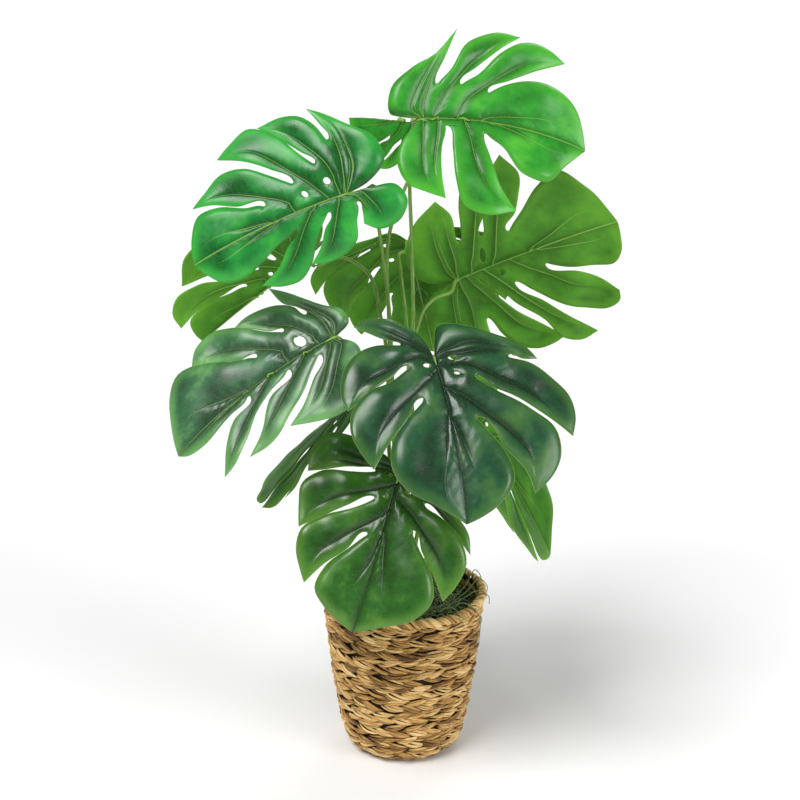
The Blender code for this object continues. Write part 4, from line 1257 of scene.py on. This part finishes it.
class MONSTERA_OT_moss(Operator):
    """Lay the moss: a lumpy bed and its loose threads"""
    bl_idname = "monstera.moss"
    bl_label = "Moss"

    def execute(self, context):
        s = context.scene.monstera_moss
        low, high = (np.array(corner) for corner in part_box("moss"))
        outer = (high[0] - low[0]) / 2 + MOSS_OVERLAP
        # painted shade: the bed's near-black colours stand for the shade in the gaps under the
        # threads
        bed = crumb_finish("moss_bed", (0.003, 0.005, 0.002), (0.012, 0.018, 0.007),
                           (0.040, 0.055, 0.022), 330.0, 0.95)
        body = tuple(s.body)
        finish = thread_finish("moss_threads", shaded(body, 0.22), body, (0.62, 0.70, 0.42))
        points, groups = self.bed(outer, low, high)
        put_piece("moss_bed", points, groups, [bed], ["moss"])
        loose = self.threads(s, outer, low, high)
        points, groups = joined([loose, *self.spilling(s, high[2])])
        put_piece("moss_threads", points, groups, [finish])
        return {"FINISHED"}

    def bed(self, outer, low, high):
        """A ring whose top is a low dome of summed ripples, closed below."""
        turns = 2 * math.pi * np.arange(MOSS_LANES) / MOSS_LANES
        radius = MOSS_INNER + (outer - MOSS_INNER) * np.linspace(0, 1, 22)
        top = bed_height(radius[:, None] * np.cos(turns), radius[:, None] * np.sin(turns), low,
                         high)
        top[[0, -1]] -= 0.004
        base = np.full((1, MOSS_LANES), low[2] + 0.0005)
        radius = np.concatenate([radius, radius[-1:], radius[:1]])
        rings = round_axis(radius[:, None], turns, np.concatenate([top, base, base]))
        faces, _, _ = turned_faces(len(radius), MOSS_LANES, closed=True)
        faces = faces[:, [0, 3, 2, 1]]
        return rings.reshape(-1, 3), [(faces, 0, {"grain": np.zeros((*faces.shape, 2))})]

    def threads(self, s, outer, low, high):
        """Loose threads. A heading turns steadily and wobbles: h0 + bend t + wobble sin(w t + p);
        a height over the bed is made in the same way."""
        rng = np.random.default_rng(11)
        count, stations = s.threads, 13
        draw = lambda least, most: rng.uniform(least, most, count)[:, None]
        run = np.linspace(0, 1, stations)
        place = np.sqrt(draw(0.03, 1)) * (outer - 0.003)
        angle = draw(0, 2 * math.pi)
        step = draw(0.022, 0.060) / (stations - 1)
        heading = (draw(0, 2 * math.pi) + draw(-6.5, 6.5) * run
                   + draw(0, 0.9) * np.sin(draw(3, 9) * run + draw(0, 6)))
        x = place * np.cos(angle) + np.cumsum(np.cos(heading) * step, axis=1)
        y = place * np.sin(angle) + np.cumsum(np.sin(heading) * step, axis=1)
        squeeze = np.minimum(1, (outer - 0.001) / np.maximum(np.hypot(x, y), 1e-6))
        x, y = x * squeeze, y * squeeze
        lift = (draw(-0.0002, 0.0055)
                + draw(0.0, 0.004) * np.sin(draw(2, 6) * run + draw(0, 6)))
        path = np.stack([x, y, bed_height(x, y, low, high) + np.maximum(lift, -0.0004)], axis=-1)
        upward = np.broadcast_to((0.0, 0.0, 1.0), path.shape)
        thick = np.broadcast_to(s.radius * draw(0.55, 1.15), path.shape[:2])
        return strands(path, upward, thick, thick * 0.8, 3, rng.uniform(0, 1, count))

    def spilling(self, s, top):
        """A few long threads that arch over the basket's rim and hang down outside it."""
        rim_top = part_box("basket")[1]
        edge = rim_top.x
        parts = []
        for degrees, drop, stand in SPILLING_THREADS:
            a = math.radians(degrees)
            out = np.array([math.cos(a), math.sin(a), 0])
            side = np.array([-math.sin(a), math.cos(a), 0])
            knots = [out * (edge - 0.046) - side * 0.026 + (0, 0, top + 0.002),
                     out * (edge - 0.024) - side * 0.012 + (0, 0, rim_top.z - 0.003),
                     out * (edge - 0.008) + (0, 0, rim_top.z + 0.003 + stand),
                     out * (edge + 0.0022) + side * 0.007 + (0, 0, rim_top.z - 0.006),
                     out * (edge + 0.0022) + side * 0.013 + (0, 0, rim_top.z - drop)]
            path = smooth_path(knots, np.linspace(0, 1, 40))[None]
            thick = np.full(path.shape[:2], s.radius * 1.25)
            parts.append(strands(path, np.broadcast_to(out, path.shape), thick, thick, 5,
                                 np.array([0.45])))
        return parts


def bed_height(x, y, low, high):
    """Top of the moss: a dome, highest halfway to the wall, with three crossing ripples."""
    share = np.clip(np.hypot(x, y) / ((high[0] - low[0]) / 2), 0, 1)
    dome = 0.62 + 0.38 * np.sin(math.pi * share ** 0.9)
    ripple = (np.sin(210 * x + 1.0) * np.sin(190 * y + 2.0) + 0.6 * np.sin(330 * x - 260 * y)
              + 0.5 * np.sin(480 * y + 150 * x))
    return low[2] + (high[2] - low[2] - 0.002) * dome + 0.0011 * ripple


def wall_profile(inset):
    """Half section of the basket's outside from the foot's centre to the rim, set in by inset, as
    a smooth line of (radius, height), with its normals and headings."""
    low, high = (np.array(corner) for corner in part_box("basket"))
    rim_radius, tall = (high[0] - low[0]) / 2, high[2]
    scale = rim_radius / WALL[-1][1]
    foot = [(0.001, 0.0), (0.030, 0.0), (0.050, 0.0)]
    side = [(radius * scale, height) for height, radius in WALL[1:]]
    path = smooth_path([*foot, *side, (rim_radius, tall)], np.linspace(0, 1, 400))
    ahead = unit(np.gradient(path, axis=0))
    normal = np.stack([ahead[:, 1], -ahead[:, 0]], axis=-1)
    path = path - normal * inset
    path[:, 1] = np.maximum(path[:, 1], inset)
    return path, normal, ahead


class MONSTERA_OT_basket(Operator):
    """Weave the basket: rows of twined stitches, the wrapped rim and the core between, whose
    near-black colour is painted shade
    """
    bl_idname = "monstera.basket"
    bl_label = "Woven basket"

    def execute(self, context):
        s = context.scene.monstera_basket
        straw = straw_finish("seagrass", (0.14, 0.060, 0.014), tuple(s.straw), (0.98, 0.69, 0.30))
        # painted shade: the core's near-black colours stand for the shade in the gaps between the
        # stitches
        core = straw_finish("seagrass_core", (0.004, 0.002, 0.001), (0.014, 0.007, 0.003),
                            (0.045, 0.024, 0.010))
        low, high = (np.array(corner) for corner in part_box("basket"))
        tall, rim_radius = high[2], (high[0] - low[0]) / 2
        rng = np.random.default_rng(3)

        path, normal, ahead = wall_profile(s.bulge + s.strand_depth)
        run = run_along(path)
        first = run[np.searchsorted(path[:, 1], tall - FIRST_ROW_DROP)]
        rows = []
        for row, place in enumerate(np.arange(first, LAST_ROW_RUN, -s.row_pitch)):
            radius = np.interp(place, run, path[:, 0])
            count = max(5, round(2 * math.pi * radius / s.stitch_pitch))
            rows.append(self.stitches(s, rng, count, row, place, (run, path, normal, ahead)))
        inner = [self.inner_row(s, rng, row, tall - INNER_ROW_DROP - INNER_ROW_PITCH * row,
                                rim_radius) for row in range(3)]
        upper = len(rows) // 2 - 2
        for name, (points, groups), finish, replaced in (
                ("basket_upper_weave", joined(rows[:upper]), straw, ["basket"]),
                ("basket_lower_weave", joined(rows[upper:]), straw, ()),
                ("basket_inner_weave", joined(inner), straw, ()),
                ("basket_rim", self.rim(rng, rim_radius, tall), straw, ()),
                ("basket_core", self.core_shell(s, tall), core, ())):
            put_piece(name, points, groups, [finish], replaced)
        return {"FINISHED"}

    def stitches(self, s, rng, count, row, place, wall):
        """One row of twined stitches. A stitch is three flat blades that fan out from one end and
        close at the other. Along it, t from -1 to 1: angle = centre + 0.76 pitch t, out = bulge
        cos(pi t / 2), and each blade's height = slant t + its own spread cos(pi t / 2). wall is
        the run, points, normals and headings of the basket's section."""
        run, path, normal, ahead = wall
        blades = 3
        t = np.linspace(-1, 1, 10)
        slants, starts, rises, _, _ = rng.normal(0, 1, (5, count, 1, 1))
        each = lambda spread: spread * rng.normal(0, 1, (count, blades, 1))
        slant = ROW_SLANTS[row % 2] + 0.0013 * slants
        number = np.arange(count)[:, None, None]
        centre = 2 * math.pi * (number + 0.5 * (row % 2)) / count + 0.04 * starts
        which = np.array([-1, 0, 1])[:, None]
        arch = np.cos(math.pi * t / 2)
        angle = centre + 2 * math.pi / count * (0.76 * t + 0.10 * which + each(0.07))
        fan = 1 - 0.5 * t
        up = (slant * t + (BLADE_SPREAD * which * fan + each(0.00045)) * arch ** 0.8
              + 0.0007 * rises)
        out = s.bulge * arch ** 0.9 * (1 - 0.30 * which ** 2) - 0.0018 + each(0.0005)
        spot = np.clip(place + up, run[0], run[-1])
        on_wall = lambda line: (np.interp(spot, run, line[:, 0]), np.interp(spot, run, line[:, 1]))
        (radius, height), (nr, nz), (ar, az) = on_wall(path), on_wall(normal), on_wall(ahead)
        radius = radius + nr * out
        height = np.maximum(height + nz * out, LEAST_STITCH_HEIGHT)
        tilt = 0.5 * which + each(0.35) + 0.5 * t
        outward = round_axis(nr * np.cos(tilt) + ar * np.sin(tilt), angle,
                             nz * np.cos(tilt) + az * np.sin(tilt))
        wide = s.strand_width * (0.16 + 0.84 * arch ** 0.7) * (1 + each(0.14))
        deep = s.strand_depth * (0.30 + 0.70 * arch ** 0.7)
        tone = rng.normal(0.5, 0.16, (count, 1)) + rng.normal(0, 0.15, (count, blades))
        return woven(round_axis(radius, angle, height), outward, wide, deep, np.clip(tone, 0, 1))

    def inner_row(self, s, rng, row, height, rim_radius):
        """A row of stitches on the inside of the wall, under the rim."""
        count = round(2 * math.pi * rim_radius / s.stitch_pitch)
        t = np.linspace(-1, 1, 9)
        arch = np.cos(math.pi * t / 2)
        which = np.array([-0.5, 0.5])[:, None]
        number = np.arange(count)[:, None, None]
        angle = 2 * math.pi / count * (number + 0.5 * (row % 2) + 0.8 * t)
        up = 0.002 * t + 0.0036 * which * arch + 0.0004 * rng.normal(0, 1, (count, 2, 1))
        radius = rim_radius - 0.0075 - 0.12 * (0.18 - height) - s.bulge * 0.7 * arch ** 0.8
        wide = s.strand_width * 1.15 * (0.34 + 0.66 * arch ** 0.6)
        deep = s.strand_depth * (0.45 + 0.55 * arch)
        return woven(round_axis(radius, angle, height + up),
                     round_axis(-1.0, angle, 0.3 * np.sign(up)), wide, deep,
                     np.clip(rng.normal(0.45, 0.2, count * 2), 0, 1))

    def rim(self, rng, rim_radius, tall):
        """The rim's rope. A strand climbs the outside, crosses the top and dives inside round a
        ring of small radius, a = -110 to 190 degrees, while it moves on round the basket."""
        count, blades, small = RIM_STRANDS, 3, RIM_RADIUS
        t = np.linspace(0, 1, 13)
        turn = np.radians(-110 + 300 * t)
        which = np.arange(blades)[:, None] / blades
        jitter = rng.normal(0, 1, (3, count, blades, 1))
        number = np.arange(count)[:, None, None]
        angle = (number + 0.86 * which - 1.9 * t + 0.05 * jitter[0]) * (2 * math.pi / count)
        ring = small + 0.0004 * jitter[1] - 0.0016 * (which * 1.5 - 0.5) ** 2
        radius = rim_radius - small - 0.0008 + ring * np.cos(turn)
        height = (tall - small - 0.0016 + ring * np.sin(turn) * 1.05 + 0.0004 * jitter[2]
                  + 0.0010 * np.sin(angle * 3 + 1.0) + 0.0006 * np.sin(angle * count / 2))
        swell = np.sin(math.pi * np.clip(t, 0.05, 0.95)) ** 0.6
        wide = 0.0018 * swell * (1 + 0.15 * jitter[1])
        tone = rng.normal(0.55, 0.15, (count, 1)) + rng.normal(0, 0.18, (count, blades))
        return woven(round_axis(radius, angle, height),
                     round_axis(np.cos(turn), angle, np.sin(turn)), wide, 0.0012 * swell,
                     np.clip(tone, 0, 1))

    def core_shell(self, s, tall):
        """The stakes and packing between the stitches, painted near-black as shade: a closed
        shell that follows the wall."""
        outer, _, _ = wall_profile(s.bulge + 2 * s.strand_depth + 0.0010)
        inner, _, _ = wall_profile(INNER_WALL)
        outer, inner = (line[line[:, 1] < tall - CORE_RIM_GAP][::6] for line in (outer, inner))
        section = np.concatenate([outer, inner[::-1]])
        section[0, 0] = section[-1, 0] = 0.0006
        turns = 2 * math.pi * np.arange(CORE_LANES) / CORE_LANES
        rings = round_axis(section[:, :1], turns, section[:, 1:])
        faces, row, lane = turned_faces(len(section), CORE_LANES, closed=True)
        layers = {"grain": np.stack([row * 0.4, lane * 1.2], axis=-1),
                  "tone": np.full((*faces.shape, 2), 0.5)}
        return rings.reshape(-1, 3), [(faces, 0, layers)]


class MONSTERA_OT_pot(Operator):
    """Finish the nursery pot and the soil that the basket holds"""
    bl_idname = "monstera.pot"
    bl_label = "Pot and soil"

    def execute(self, context):
        finishes = {"nursery_pot": plastic_finish("pot_plastic", (0.012, 0.012, 0.013),
                                                  (0.05, 0.05, 0.05)),
                    "soil": crumb_finish("potting_soil", (0.006, 0.004, 0.003),
                                         (0.03, 0.019, 0.012), (0.085, 0.058, 0.036), 260.0, 0.95)}
        for node, finish in finishes.items():
            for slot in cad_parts[node].material_slots:
                slot.material = finish
        return {"FINISHED"}


class MONSTERA_PT_sidebar(Panel):
    """The plant's pieces and their settings"""
    bl_idname = "MONSTERA_PT_sidebar"
    bl_label = "Monstera in a basket"
    bl_space_type = "VIEW_3D"
    bl_region_type = "UI"
    bl_category = "Monstera"

    def draw(self, context):
        layout = self.layout
        for operator, settings in STEPS:
            layout.operator(operator.bl_idname)
            if settings:
                box = layout.box()
                group = getattr(context.scene, settings)
                for field in type(group).__annotations__:
                    box.prop(group, field)


STEPS = (
    (MONSTERA_OT_stage, "monstera_stage"),
    (MONSTERA_OT_pot, None),
    (MONSTERA_OT_basket, "monstera_basket"),
    (MONSTERA_OT_moss, "monstera_moss"),
    (MONSTERA_OT_crown, None),
    (MONSTERA_OT_petioles, "monstera_petioles"),
    (MONSTERA_OT_blades, "monstera_blades"),
)
SETTINGS = {"monstera_stage": StageSettings, "monstera_basket": BasketSettings,
            "monstera_moss": MossSettings, "monstera_petioles": PetioleSettings,
            "monstera_blades": BladeSettings}
CLASSES = (*SETTINGS.values(), *(operator for operator, _ in STEPS), MONSTERA_PT_sidebar)


def register():
    for item in CLASSES:
        bpy.utils.register_class(item)
    for name, group in SETTINGS.items():
        setattr(bpy.types.Scene, name, PointerProperty(type=group))


def unregister():
    for name in SETTINGS:
        delattr(bpy.types.Scene, name)
    for item in reversed(CLASSES):
        bpy.utils.unregister_class(item)


def main():
    register()
    bpy.ops.monstera.stage()
    bpy.ops.monstera.pot()
    bpy.ops.monstera.basket()
    bpy.ops.monstera.moss()
    bpy.ops.monstera.crown()
    bpy.ops.monstera.petioles()
    bpy.ops.monstera.blades()


if __name__ == "__main__":
    main()
